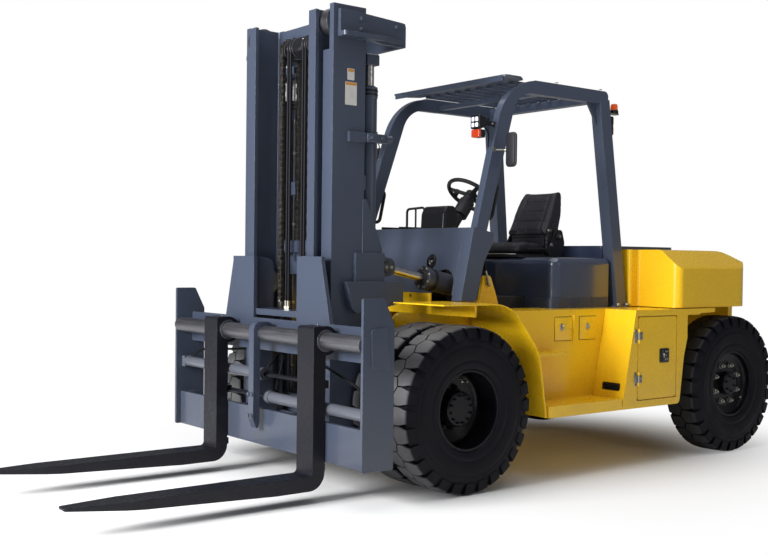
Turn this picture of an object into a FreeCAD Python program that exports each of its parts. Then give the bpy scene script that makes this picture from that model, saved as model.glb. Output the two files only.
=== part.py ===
import FreeCAD, Part
import math
import os

# Twelve tonne electric counterbalance forklift with a two-stage mast.
# Millimetres.  While the truck is laid out, Y = 0 is the drive axle and -Y is forward,
# +X is the driver's left and Z = 0 is the ground.  place() then moves every piece so that
# the origin is the middle of the truck's footprint.

V = FreeCAD.Vector

# ---- driving dimensions -------------------------------------------------------------------
seat_gap = 0.3              # gap between a piece and what it is bolted or pressed on
running_gap = 6.0           # least gap between pieces that move past each other
journal_gap = 0.06          # radial gap of a pin or journal in its bore

# wheels and axles
wheelbase = 2750.0
tyre_radius = 527.0
tyre_width = 262.0
tread_width = 226.0
rim_radius = 254.0
front_outer_tyre_x = 959.0
dual_spacing = 295.0
rear_tyre_x = 968.0
kingpin_x = 770.0
trunnion_radius = 60.0
steer_sweep = 655.0         # radius kept open round each kingpin

# frame and side boxes
body_half = 1081.0          # outer face of the side covers and the steps
well_half = 800.0           # side wall beside the steps, set in from the body
longeron_half = 460.0       # outer face of the frame's side plates
longeron_plate = 40.0
sill_z = 423.0
step_z = 500.0
frame_front_bottom_z = 700.0
deck_z = 1120.0
side_wall_front_y = 690.0
cover_front_low_y = 1439.0
cover_front_high_y = 1579.0
arch_front_y = 2088.0
vent_low_x = 870.0          # slot in the slanted wall behind the steps
vent_high_x = 1035.0
vent_low_z = 547.0
vent_high_z = 602.0

fender_z = 1187.0
fender_sheet = 8.0
fender_front_y = -230.0
fender_inner_x = 586.0
front_plate_y = 100.0       # cross plates that carry the fenders and the cowl
front_plate = 14.0
front_plate_top_z = 1240.0

door_front_y = 1606.0
door_rear_y = 2040.0
door_low_z = 480.0
door_high_z = 1070.0
door_thickness = 24.0
door_gap = 6.0
door_hinge_x = body_half + 9 + seat_gap
door_hinge_y = door_front_y - 2
door_hinge_radius = 9.0
door_hinge_heights = (631.0, 937.0)

# overhead guard and cowl
roof_z = 2736.0
roof_front_y = 706.0
roof_rear_y = 1780.0
roof_half = 624.0
roof_bars = 9
rail_depth = 95.0
post_width = 60.0
rear_leg_width = 95.0
leg_inner_x = 575.0
leg_outer_x = 671.0
cowl_y = 387.0
cowl_low_y = 285.0
cowl_low_z = 1226.0
cowl_top_z = 1682.0
cowl_sheet = 8.0
horn_z = 1447.0
horn_radius = 52.0
lamp_x = 600.0
lamp_y = 482.0
lamp_z = 2350.0
beacon_x = 598.0
beacon_z = 2575.0
mirror_y = 655.0
mirror_z = 2216.0

# hood, cabinet and battery
hood_half = 640.0
hood_front_y = 1212.0
hood_rear_y = 1795.0
hood_top_z = 1490.0
hood_wall = 8.0
hood_corner = 70.0
hood_round = 56.0
hood_hinge_x = 400.0
hood_hinge_y = hood_rear_y + 10
hood_hinge_z = hood_top_z - 12
hood_hinge_radius = 9.0
hood_knuckle = 60.0
cabinet_y = hood_hinge_y + 14
battery_half = 410.0
battery_top_z = 1380.0

# operator's place
floor_z = 1190.0
floor_sheet = 8.0
toe_top_z = 1420.0
toe_length = 260.0          # from the cowl's top edge back to the foot of the toe board
plinth_top_z = 1500.0
seat_front_y = 1240.0
seat_half = 225.0
seat_pan_z = 1514.0
seat_side_x = 238.0
backrest_low_z = 1645.0
wheel_y = 970.0
wheel_z = 1946.0
wheel_ring_radius = 185.0
wheel_ring_bar = 15.0
column_rake = 37.0          # degrees that the steering column leans back
column_length = 800.0
column_low_y = wheel_y - column_length * math.sin(math.radians(column_rake))
column_low_z = wheel_z - column_length * math.cos(math.radians(column_rake))
pod_half = 130.0
pod_front_y = 585.0

# counterweight
cw_half = 1065.0
cw_waist_half = 690.0
cw_front_y = 1990.0
cw_shoulder_y = 2082.0
cw_taper_y = 2900.0
cw_rear_half = 620.0
cw_rear_y = 3440.0
cw_bottom_z = 1126.0
cw_top_z = 1557.0
cw_edge_z = 1418.0          # where the sloping shoulder of the top begins
cw_edge_x = 900.0
cw_tail_y = 2830.0          # where the top starts to slope down to the tail
cw_tail_low_z = 1190.0
cw_low_z = 400.0
cw_low_half = 600.0
lifting_hole_x = 700.0
lifting_hole_y = cw_tail_y - 140
lifting_hole_radius = 30.0
lifting_hole_depth = 127.0
drawbar_pin_radius = 22.0
drawbar_inset = 65.0
drawbar_low_z = 555.0
drawbar_pocket_z = 730.0
drawbar_high_z = drawbar_pocket_z + 5

# mast
mast_half = 520.0
mast_front_y = -674.0
mast_bottom_z = 190.0
mast_top_z = 3045.0
outer_rail_depth = 250.0
outer_flange_reach = 109.0
rail_plate = 24.0
tie_plate = 16.0
inner_rail_half = 398.0
inner_rail_front_y = -724.0
inner_rail_depth = 240.0
inner_flange_reach = 78.0
inner_bottom_z = 260.0
inner_top_z = 3020.0
inner_crossbar_z = inner_top_z - 75
head_low_z = 2700.0
mast_pivot_y = -330.0
mast_pivot_z = 430.0
pivot_pin_radius = 32.0
lug_inner_x = 322.0
lug_width = 40.0
guide_roller_x = inner_rail_half
guide_roller_y = inner_rail_front_y + inner_rail_depth / 2
guide_roller_z = mast_top_z - 100
clamp_z = 2228.0            # height of the hose clamp on the outer mast

lift_cylinder_x = 455.0
lift_cylinder_y = -348.0
lift_barrel_radius = 55.0
lift_barrel_bore = 44.0
lift_rod_radius = 34.0
lift_barrel_top_z = 2560.0

chain_x = 170.0
chain_front_y = -600.0
chain_wheel_radius = 66.0
chain_wheel_drop = 19.0     # room over the chain wheels, under the inner mast's crossbar
chain_wheel_z = inner_crossbar_z - chain_wheel_radius - chain_wheel_drop
chain_rear_y = chain_front_y + 2 * chain_wheel_radius
chain_anchor_z = 1500.0

# carriage and forks
carriage_half = 1150.0
carriage_plate_y = -757.0
carriage_plate = 27.0
carriage_top_z = 1060.0
chain_beam_z = carriage_top_z + 60
end_plate = 26.0
end_pad = 8.0
end_plate_top_z = 1236.0
end_plate_bottom_z = 245.0
stop_plate_height = 235.0
cheek_inner_x = 262.0
cheek_outer_high_x = 535.0
cheek_outer_low_x = 635.0
cheek_top_z = 1473.0
roller_plate_x = 316.0
roller_radius = 84.0
shaft_y = -850.0
shaft_z = 970.0
shaft_radius = 52.0
hanger_half = 30.0

fork_width = 175.0
fork_thickness = 86.0
fork_length = 1500.0
fork_top_z = 166.0
fork_eye_radius = 88.0
fork_left_x = 640.0
fork_right_x = -520.0
positioner_y = -806.0
positioner_high_z = 700.0
positioner_low_z = 557.0
positioner_barrel_radius = 36.0
positioner_rod_radius = 14.0
positioner_stroke_reach = 480.0

# tilt cylinders
tilt_cylinder_x = 462.0
tilt_eye_y = -225.0
tilt_eye_z = 1410.0
tilt_pin_y = 640.0
tilt_pin_z = 1232.0
tilt_barrel_radius = 72.0
tilt_rod_radius = 28.0
tilt_rod_show = 350.0
tilt_rod_inside = 225.0
tilt_pin_radius = 24.0
tilt_drift = 13.0           # extra radius of the mast's holes, taken up as the mast tilts
tilt_head_radius = 40.0
tilt_foot = 120.0           # half length of the cylinder's ears at the deck
tilt_ear_top_z = 1356.0
tilt_ear_plate = 20.0
frame_pin_radius = 25.0
ear_plate = 24.0
ear_offset = 36.0
ear_foot_x = tilt_cylinder_x + tilt_barrel_radius + running_gap + tilt_ear_plate
floor_ear_gap = 12.0        # between the tilt cylinders' ears and the operator's floor
floor_half = tilt_cylinder_x - tilt_barrel_radius - running_gap - tilt_ear_plate - floor_ear_gap
cowl_cut_gap = 30.0         # room round the tilt cylinders where they pass the cowl
horn_cut_gap = 10.0         # metal left between the horn's hole and the tilt cylinders' openings
horn_x = tilt_cylinder_x - tilt_barrel_radius - cowl_cut_gap - horn_radius - horn_cut_gap

overall_front_y = shaft_y - fork_eye_radius - fork_length
origin_y = (overall_front_y + cw_rear_y) / 2


# ---- geometry helpers -----------------------------------------------------------------------
def wire(points, place_point):
    """Closed outline. A point is (a, b) or (a, b, corner radius)."""
    flat = [V(p[0], p[1], 0) for p in points]
    count = len(points)
    starts, ends, arcs = [], [], []
    for i, here in enumerate(flat):
        radius = points[i][2] if len(points[i]) > 2 else 0.0
        before = flat[i - 1] - here
        after = flat[(i + 1) % count] - here
        straight = before.Length > 0 and after.Length > 0 and before.getAngle(after) > 3.1
        if radius <= 0 or straight:
            starts.append(here)
            ends.append(here)
            arcs.append(None)
            continue
        before.normalize()
        after.normalize()
        half = before.getAngle(after) / 2.0
        reach = radius / math.tan(half)
        middle = before + after
        middle.normalize()
        starts.append(here + before * reach)
        ends.append(here + after * reach)
        arcs.append(here + middle * (radius / math.sin(half) - radius))
    edges = []
    for i in range(count):
        if arcs[i] is not None:
            curve = Part.Arc(place_point(starts[i]), place_point(arcs[i]), place_point(ends[i]))
            edges.append(curve.toShape())
        a = ends[i]
        b = starts[(i + 1) % count]
        if (b - a).Length > 1e-6:
            edges.append(Part.makeLine(place_point(a), place_point(b)))
    return Part.Wire(edges)


def slab_x(points, x0, x1):
    """Outline in Y and Z, thick from x0 to x1."""
    face = Part.Face(wire(points, lambda p: V(x0, p.x, p.y)))
    return face.extrude(V(x1 - x0, 0, 0))


def slab_y(points, y0, y1):
    """Outline in X and Z, thick from y0 to y1."""
    face = Part.Face(wire(points, lambda p: V(p.x, y0, p.y)))
    return face.extrude(V(0, y1 - y0, 0))


def slab_z(points, z0, z1):
    """Outline in X and Y, thick from z0 to z1."""
    face = Part.Face(wire(points, lambda p: V(p.x, p.y, z0)))
    return face.extrude(V(0, 0, z1 - z0))


def box(x0, x1, y0, y1, z0, z1):
    """Block between two planes along each axis."""
    return Part.makeBox(x1 - x0, y1 - y0, z1 - z0, V(x0, y0, z0))


def rod(a, b, radius):
    """Round bar from a to b."""
    return Part.makeCylinder(radius, (b - a).Length, a, b - a)


def tube(a, b, outer, inner):
    """Hollow round bar from a to b."""
    return rod(a, b, outer).cut(rod(a, b, inner))


def turned_x(points, y, z):
    """Solid of revolution about a line along X; points are (x, radius[, corner radius])."""
    face = Part.Face(wire(points, lambda p: V(p.x, y, z + p.y)))
    return face.revolve(V(0, y, z), V(1, 0, 0), 360)


def bent_bar(points, radius, bend):
    """Round bar along straight runs joined by arcs of one bend radius."""
    edges = []
    last = points[0]
    for i in range(1, len(points) - 1):
        before = points[i - 1] - points[i]
        after = points[i + 1] - points[i]
        before.normalize()
        after.normalize()
        half = before.getAngle(after) / 2.0
        reach = bend / math.tan(half)
        middle = before + after
        middle.normalize()
        start = points[i] + before * reach
        end = points[i] + after * reach
        top = points[i] + middle * (bend / math.sin(half) - bend)
        edges.append(Part.makeLine(last, start))
        edges.append(Part.Arc(start, top, end).toShape())
        last = end
    edges.append(Part.makeLine(last, points[-1]))
    path = Part.Wire(edges)
    profile = Part.Wire([Part.makeCircle(radius, points[0], points[1] - points[0])])
    return path.makePipeShell([profile], True, True)


def mirrored(shape):
    """The same shape on the other side of the truck."""
    return shape.mirror(V(0, 0, 0), V(1, 0, 0))


def fused(shapes):
    """One solid from several that touch."""
    first = shapes[0]
    return first.multiFuse(shapes[1:]).removeSplitter()


def pair(shape):
    """A shape together with its mirror image."""
    return Part.makeCompound([shape, mirrored(shape)])


# ---- wheels and axles -----------------------------------------------------------------------
def tyre(x, y):
    """Solid rubber tyre, its tread narrower than its sidewalls."""
    half = tyre_width / 2
    tread = tread_width / 2
    bead = half - 22
    wall = tyre_radius - rim_radius
    profile = [
        (x - bead, rim_radius, 12),
        (x - half, rim_radius + wall * 0.35, 70),
        (x - half, rim_radius + wall * 0.70, 60),
        (x - tread, tyre_radius, 26),
        (x + tread, tyre_radius, 26),
        (x + half, rim_radius + wall * 0.70, 60),
        (x + half, rim_radius + wall * 0.35, 70),
        (x + bead, rim_radius, 12),
    ]
    return turned_x(profile, y, tyre_radius)


def front_rims():
    """Drive wheel: two rims, the dished disc between them and the planetary hub."""
    outer = rim_radius - seat_gap
    barrel = 14.0
    inner_x = front_outer_tyre_x - dual_spacing
    lip_in = inner_x - tyre_width / 2 + 24
    lip_out = front_outer_tyre_x + tyre_width / 2 - 24
    disc_x = front_outer_tyre_x - 118
    disc = 18.0
    profile = [
        (lip_in, outer - barrel),
        (lip_in, outer),
        (lip_out, outer),
        (lip_out, outer - barrel),
        (disc_x + disc + 26, outer - barrel, 30),
        (disc_x + disc, 150),
        (disc_x + disc, 118),
        (disc_x + 150, 112, 16),
        (disc_x + 150, 0),
        (disc_x - 60, 0),
        (disc_x - 60, 150),
        (disc_x, 150),
        (disc_x, outer - barrel, 24),
    ]
    hub = turned_x(profile, 0, tyre_radius)
    return hub


def drive_axle():
    """Axle beam with its differential bulge, brake drums and the pads under the frame."""
    end_x = front_outer_tyre_x - 118 - 60 - seat_gap
    arm_end = front_outer_tyre_x - dual_spacing - tyre_width / 2 - 15
    profile = [
        (-end_x, 0),
        (-end_x, 96),
        (-arm_end, 96),
        (-arm_end + 40, 128, 20),
        (-230, 128, 60),
        (-150, 215, 60),
        (150, 215, 60),
        (230, 128, 60),
        (arm_end - 40, 128, 20),
        (arm_end, 96),
        (end_x, 96),
        (end_x, 0),
    ]
    beam = turned_x(profile, 0, tyre_radius)
    pads = []
    for sign in (1, -1):
        x0 = sign * (longeron_half - longeron_plate / 2)
        pad = box(-60, 60, -95, 95, tyre_radius, frame_front_bottom_z - seat_gap)
        pad.translate(V(x0, 0, 0))
        pads.append(pad)
    motor = rod(V(0, 150, tyre_radius), V(0, 560, tyre_radius), 150)
    return fused([beam] + pads + [motor])


def steer_axle():
    """Steering beam on a centre trunnion, with a yoke round each kingpin."""
    z = tyre_radius
    web = [
        (-600, z - 70), (-300, z - 85, 60), (300, z - 85, 60), (600, z - 70),
        (600, z + 70), (300, z + 85, 60), (-300, z + 85, 60), (-600, z + 70),
    ]
    parts = [slab_y(web, wheelbase - 60, wheelbase + 60)]
    for sign in (1, -1):
        x = sign * kingpin_x
        root = sign * 560
        for low, high in ((z - 118, z - 78), (z + 78, z + 118)):
            arm = box(min(root, x), max(root, x), wheelbase - 52, wheelbase + 52, low, high)
            eye = rod(V(x, wheelbase, low), V(x, wheelbase, high), 52)
            parts += [arm, eye]
        stem = box(min(root, sign * 605), max(root, sign * 605), wheelbase - 52, wheelbase + 52, z - 118,
                   z + 118)
        parts.append(stem)
    parts.append(rod(V(0, wheelbase - 210, z), V(0, wheelbase + 210, z), 60))
    beam = fused(parts)
    for sign in (1, -1):
        pin = rod(V(sign * kingpin_x, wheelbase, z - 130), V(sign * kingpin_x, wheelbase, z + 130),
                  24 + 0.05)
        beam = beam.cut(pin)
    return beam


def knuckle():
    """Left steering knuckle with its kingpin and spindle."""
    z = tyre_radius
    x = kingpin_x
    body = rod(V(x, wheelbase, z - 72), V(x, wheelbase, z + 72), 50)
    pin = rod(V(x, wheelbase, z - 118), V(x, wheelbase, z + 118), 24)
    flange = rod(V(x + 20, wheelbase, z), V(rear_tyre_x - 110, wheelbase, z), 70)
    spindle = rod(V(x, wheelbase, z), V(rear_tyre_x + 20, wheelbase, z), 40)
    arm = box(x - 30, x + 30, wheelbase - 190, wheelbase, z - 60, z - 30)
    return fused([body, pin, flange, spindle, arm])


def rear_rim():
    """Steer wheel rim: barrel, dished disc and hub that turns on the spindle."""
    x = rear_tyre_x
    outer = rim_radius - seat_gap
    barrel = 14.0
    half = tyre_width / 2 - 24
    spindle_gap = 40.05
    profile = [
        (x - half, outer - barrel),
        (x - half, outer),
        (x + half, outer),
        (x + half, outer - barrel),
        (x + 58, outer - barrel, 26),
        (x + 44, 175, 10),
        (x + 44, 92),
        (x + 96, 84, 12),
        (x + 96, 0),
        (x + 20.5, 0),
        (x + 20.5, spindle_gap),
        (x - 96, spindle_gap),
        (x - 96, 92),
        (x + 28, 92),
        (x + 28, 175, 10),
        (x + 34, outer - barrel, 16),
    ]
    return turned_x(profile, wheelbase, tyre_radius)


# ---- frame and body -------------------------------------------------------------------------
def chassis_frame():
    """Two side plates, cross walls, the front bulkhead and the steer axle's front bearing."""
    x1 = longeron_half
    x0 = x1 - longeron_plate
    side = [
        (-110, frame_front_bottom_z), (560, frame_front_bottom_z, 40), (700, sill_z + 10, 40),
        (arch_front_y - 6, sill_z + 10), (arch_front_y - 6, deck_z - 12), (-110, deck_z - 12, 60),
    ]
    plate = slab_x(side, x0, x1)
    parts = [plate, mirrored(plate)]
    parts.append(box(-x0 - 5, x0 + 5, 600, 640, sill_z + 60, deck_z - 12))
    parts.append(box(-x0 - 5, x0 + 5, arch_front_y - 46, arch_front_y - 6, sill_z + 10, deck_z - 12))
    parts.append(box(-x0 - 5, x0 + 5, 635, arch_front_y - 40, sill_z + 10, sill_z + 30))
    bracket_x = fender_inner_x + 414
    bracket_z = fender_z - fender_sheet - seat_gap
    y0, y1 = front_plate_y, front_plate_y + front_plate
    low_z = tyre_radius * 2 + 46
    parts.append(box(-bracket_x, bracket_x, y0, y1, low_z, bracket_z))
    front = box(-560, 560, y0, y1, low_z, front_plate_top_z)
    for x in (-355, -250, 250, 355):
        front = front.cut(rod(V(x, y0 - 10, 1215), V(x, y1 + 10, 1215), 14))
    parts.append(front)
    parts.append(box(-x0 - 5, x0 + 5, y0, y1, 820, 1060))
    ear_inner = tilt_barrel_radius + running_gap
    for inner in (tilt_cylinder_x - ear_inner - tilt_ear_plate, tilt_cylinder_x + ear_inner):
        ear = slab_x([
            (tilt_pin_y - tilt_foot, deck_z - 60), (tilt_pin_y + tilt_foot, deck_z - 60),
            (tilt_pin_y + 70, tilt_pin_z - 20, 60), (tilt_pin_y + 10, tilt_ear_top_z, 26),
            (tilt_pin_y - 58, tilt_ear_top_z, 26),
        ], inner, inner + tilt_ear_plate)
        parts += [ear, mirrored(ear)]
    foot = box(x0, ear_foot_x, tilt_pin_y - tilt_foot, tilt_pin_y + tilt_foot, deck_z - 60, deck_z - 12)
    parts += [foot, mirrored(foot)]
    z = tyre_radius
    hanger = [
        (-130, deck_z - 12), (130, deck_z - 12), (105, z + 40), (75, z - 85, 30), (-75, z - 85, 30),
        (-105, z + 40),
    ]
    block = slab_y(hanger, wheelbase - 200, wheelbase - 110)
    block = block.cut(rod(V(0, wheelbase - 230, z), V(0, wheelbase - 80, z),
                          trunnion_radius + journal_gap))
    parts.append(block)
    parts.append(box(-130, 130, arch_front_y - 30, wheelbase - 110, deck_z - 112, deck_z - 12))
    reach = ear_inner + tilt_ear_plate
    pin = rod(V(tilt_cylinder_x - reach, tilt_pin_y, tilt_pin_z),
              V(tilt_cylinder_x + reach, tilt_pin_y, tilt_pin_z),
              frame_pin_radius)
    parts += [pin, mirrored(pin)]
    return fused(parts)


def side_tank():
    """Left side box beside the steps; it closes the frame between fender and rear cover."""
    x0 = longeron_half + seat_gap
    front = side_wall_front_y + 10
    body = slab_x([
        (front, sill_z), (cover_front_low_y - seat_gap, sill_z),
        (cover_front_high_y - seat_gap, deck_z), (520, deck_z), (520, deck_z - 30),
        (front - 60, 900, 60),
    ], x0, well_half)
    step = box(well_half - 5, body_half, front, cover_front_low_y - seat_gap, sill_z, step_z)
    ledge = box(well_half - 5, well_half + 150, front + 10, front + 320, 815, 838)
    foot = box(x0 - 1, ear_foot_x + seat_gap, tilt_pin_y - tilt_foot - running_gap,
               tilt_pin_y + tilt_foot + running_gap,
               deck_z - 60 - seat_gap, deck_z + 1)
    return fused([body.cut(foot), step, ledge])


def rear_side_cover():
    """Left cover from the steps to the wheel arch, with the compartment behind its door."""
    x0 = longeron_half + seat_gap
    lip_y = arch_front_y + 422
    skin = slab_x([
        (cover_front_low_y, sill_z), (arch_front_y, sill_z, 40), (arch_front_y + 47, 770, 200),
        (arch_front_y + 110, 990, 120), (arch_front_y + 240, 1085, 90), (lip_y, 1089),
        (lip_y, deck_z), (cover_front_high_y, deck_z),
    ], x0, body_half)
    sweep = rod(V(kingpin_x, wheelbase, sill_z - 50), V(kingpin_x, wheelbase, tyre_radius * 2 + 20),
                steer_sweep)
    skin = skin.cut(sweep)
    skin = skin.cut(box(x0 - 1, 720, arch_front_y - 6, lip_y + 10, sill_z - 10, deck_z + 10))
    low, high = door_low_z - door_gap, door_high_z + door_gap
    pocket = box(body_half - 320, body_half + 1, door_front_y + 30, door_rear_y - 30, low + 40, high - 40)
    seat = box(body_half - door_thickness - 2, body_half + 1, door_front_y - door_gap,
               door_rear_y + door_gap, low, high)
    skin = skin.cut(pocket).cut(seat)
    vent = slab_y([
        (vent_low_x, vent_low_z, 14), (vent_high_x, vent_low_z, 14), (vent_high_x, vent_high_z, 14),
        (vent_low_x, vent_high_z, 14),
    ], cover_front_low_y, cover_front_low_y + 70)
    skin = skin.cut(vent)
    knuckles = []
    for z in door_hinge_heights:
        for end in (-28 - seat_gap, 28 + seat_gap):
            top = end + math.copysign(22, end)
            low_z, high_z = z + min(end, top), z + max(end, top)
            knuckles.append(rod(V(door_hinge_x, door_hinge_y, low_z),
                                V(door_hinge_x, door_hinge_y, high_z),
                                door_hinge_radius))
            knuckles.append(box(body_half - 4, body_half + 4, door_hinge_y - 44, door_hinge_y - 5, low_z,
                                high_z))
            knuckles.append(box(body_half - 1, door_hinge_x, door_hinge_y - 9, door_hinge_y - 5, low_z,
                                high_z))
    return fused([skin] + knuckles)


def side_door():
    """Left compartment door with two hinge knuckles at its front edge and a latch plate."""
    leaf = slab_x([
        (door_front_y, door_low_z, 25), (door_rear_y, door_low_z, 25),
        (door_rear_y, door_high_z, 25), (door_front_y, door_high_z, 25),
    ], body_half - door_thickness, body_half)
    parts = [leaf]
    for z in door_hinge_heights:
        parts.append(rod(V(door_hinge_x, door_hinge_y, z - 28), V(door_hinge_x, door_hinge_y, z + 28),
                         door_hinge_radius))
        parts.append(box(body_half - 4, body_half + 4, door_hinge_y, door_hinge_y + 45, z - 26, z + 26))
    return fused(parts)


def front_fender():
    """Left mudguard: one bent sheet over the dual tyres."""
    s = fender_sheet
    top = fender_z
    tip = side_wall_front_y - 8
    outline = [
        (fender_front_y, top), (350, top, 330), (610, 860, 280), (tip, sill_z + 6),
        (tip - s, sill_z + 6), (610 - s, 860 - 1, 280 - s), (350 - s * 0.55, top - s, 330 - s),
        (fender_front_y, top - s),
    ]
    sheet = slab_x(outline, fender_inner_x, body_half)
    return sheet


def toe_space():
    """Everything in front of the toe board's upper face."""
    return slab_x([
        (cowl_y + 40 + seat_gap, toe_top_z), (cowl_y + toe_length + seat_gap, floor_z + floor_sheet),
        (cowl_y + toe_length, floor_z - 200), (cowl_y - 200, floor_z - 200),
        (cowl_y - 200, toe_top_z),
    ], -floor_half, floor_half)


def floor_plate():
    """Operator's floor with its toe board, walled at the sides beside the tilt cylinders."""
    s = floor_sheet
    profile = [
        (cowl_y + 40, toe_top_z), (cowl_y + toe_length, floor_z + s), (hood_front_y - 12, floor_z + s),
        (hood_front_y - 12, floor_z), (cowl_y + 256, floor_z), (cowl_y + 32, toe_top_z),
    ]
    board = slab_x(profile, -floor_half, floor_half)
    wall = [
        (cowl_y + 36, toe_top_z), (cowl_y + toe_length, floor_z + s), (hood_front_y - 12, floor_z + s),
        (hood_front_y - 12, deck_z - 12 + seat_gap), (cowl_y + 60, deck_z - 12 + seat_gap),
        (cowl_y + 30, 1300),
    ]
    left = slab_x(wall, floor_half - s, floor_half)
    rim = slab_z([
        (-hood_half, hood_front_y - 12, 60), (hood_half, hood_front_y - 12, 60), (hood_half, hood_rear_y),
        (-hood_half, hood_rear_y),
    ], deck_z + seat_gap, floor_z + s)
    hole = slab_z([
        (-hood_half + 8, hood_front_y - 4, 52), (hood_half - 8, hood_front_y - 4, 52),
        (hood_half - 8, hood_rear_y + 1),
        (-hood_half + 8, hood_rear_y + 1),
    ], deck_z - 20, floor_z + s + 1)
    return fused([board, left, mirrored(left), rim.cut(hole)])


def front_cowl():
    """Sloping plate in front of the operator, cut away over the tilt cylinders."""
    s = cowl_sheet
    top, bottom = cowl_top_z, cowl_low_z
    lean = (cowl_y - cowl_low_y) / (top - bottom)
    half = leg_inner_x - seat_gap
    plate = slab_x([
        (cowl_low_y, bottom), (cowl_y, top), (cowl_y + 60, top), (cowl_y + 60, top - s),
        (cowl_y + s, top - s), (cowl_low_y + s, bottom),
    ], -half, half)
    openings = [rod(V(horn_x, cowl_low_y - 50, horn_z), V(horn_x, cowl_y + 50, horn_z), horn_radius)]
    y = (cowl_y + cowl_low_y) / 2
    z = tilt_eye_z + (tilt_pin_z - tilt_eye_z) * (y - tilt_eye_y) / (tilt_pin_y - tilt_eye_y)
    clear = tilt_barrel_radius + cowl_cut_gap
    for x in (tilt_cylinder_x, -tilt_cylinder_x):
        openings.append(rod(V(x, y - 150, z), V(x, y + 150, z), clear))
        openings.append(box(x - clear, x + clear, y - 150, y + 150, z - 200, z))
    return plate.cut(openings)


def leg_slab(points, inner, outer, lean):
    """Guard leg: side outline, thick in X, leaning in toward the roof above its foot."""
    leg = slab_x(points, inner, outer)
    low = min(p[1] for p in points)
    leg.rotate(V(outer, 0, low), V(0, 1, 0), -lean)
    return leg


def overhead_guard():
    """Guard frame: front legs with their knee plates, bent posts, roof rails and rear legs."""
    knee = slab_x([
        (277, fender_z + seat_gap), (415, fender_z + seat_gap), (485, 1455, 60), (567, 1590, 60),
        (567, 1650),
        (387, cowl_top_z),
    ], leg_inner_x, leg_outer_x)
    run = roof_z - cowl_top_z
    lean = math.degrees(math.atan((leg_outer_x - roof_half) / run))
    post = leg_slab([
        (400, cowl_top_z - 40), (roof_front_y + 20, roof_z, 420), (1150, roof_z),
        (1150, roof_z - rail_depth), (roof_front_y + 120, roof_z - rail_depth, 200),
        (500, cowl_top_z - 40),
    ], leg_outer_x - post_width, leg_outer_x, lean)
    rail = slab_x([
        (1000, roof_z - rail_depth), (roof_rear_y, roof_z - rail_depth),
        (roof_rear_y, roof_z, 40), (1000, roof_z),
    ], roof_half - post_width, roof_half)
    rear_run = roof_z - deck_z
    rear_lean = math.degrees(math.atan((leg_outer_x - roof_half) / rear_run))
    rear = leg_slab([
        (1865, deck_z + seat_gap), (1970, deck_z + seat_gap),
        (roof_rear_y + 12, roof_z - 60), (roof_rear_y - 95, roof_z - 60),
    ], leg_outer_x - rear_leg_width, leg_outer_x, rear_lean)
    rear = rear.cut(box(-2000, 2000, 1500, 2200, deck_z - 200, deck_z + seat_gap))
    foot = box(leg_inner_x - 10, leg_outer_x + 20, 1845, 1975, deck_z + seat_gap, deck_z + 14)
    corner = slab_x([
        (roof_rear_y - 190, roof_z - rail_depth + 1), (roof_rear_y - 75, roof_z - rail_depth + 1),
        (roof_rear_y - 55, roof_z - rail_depth - 150, 20),
        (roof_rear_y - 85, roof_z - rail_depth - 150, 20),
    ], roof_half - 52, roof_half - 40)
    half = fused([knee, post, rail, rear, foot, corner])
    half = half.cut(box(-2000, 2000, -1000, 4000, roof_z, roof_z + 500))
    cross = []
    cross.append(box(-roof_half + 30, roof_half - 30, roof_rear_y - 90, roof_rear_y - 20, roof_z - 80,
                     roof_z - 20))
    cross.append(box(-roof_half + 30, roof_half - 30, 1130, 1180, roof_z - 80, roof_z - 45))
    return fused([half, mirrored(half)] + cross)


def guard_roof():
    """Front plate and nine fore-and-aft bars that cover the operator."""
    top = roof_z + seat_gap
    low = roof_z - 40
    inner = roof_half - post_width - seat_gap
    plate = slab_z([
        (-roof_half, roof_front_y, 30), (roof_half, roof_front_y, 30), (roof_half, roof_front_y + 150),
        (inner, roof_front_y + 230), (-inner, roof_front_y + 230), (-roof_half, roof_front_y + 150),
    ], top, top + 12)
    lip = box(-roof_half + 30, roof_half - 30, roof_front_y, roof_front_y + 10, top - 30, top + 6)
    parts = [plate, lip]
    for i in range(roof_bars):
        x = -inner + (i + 1) * 2 * inner / (roof_bars + 1)
        parts.append(box(x - 13, x + 13, roof_front_y + 200, roof_rear_y - 4, top - 18, top + 12))
    parts.append(box(-inner, inner, roof_rear_y - 60, roof_rear_y, top, top + 12))
    return fused(parts)


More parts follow.
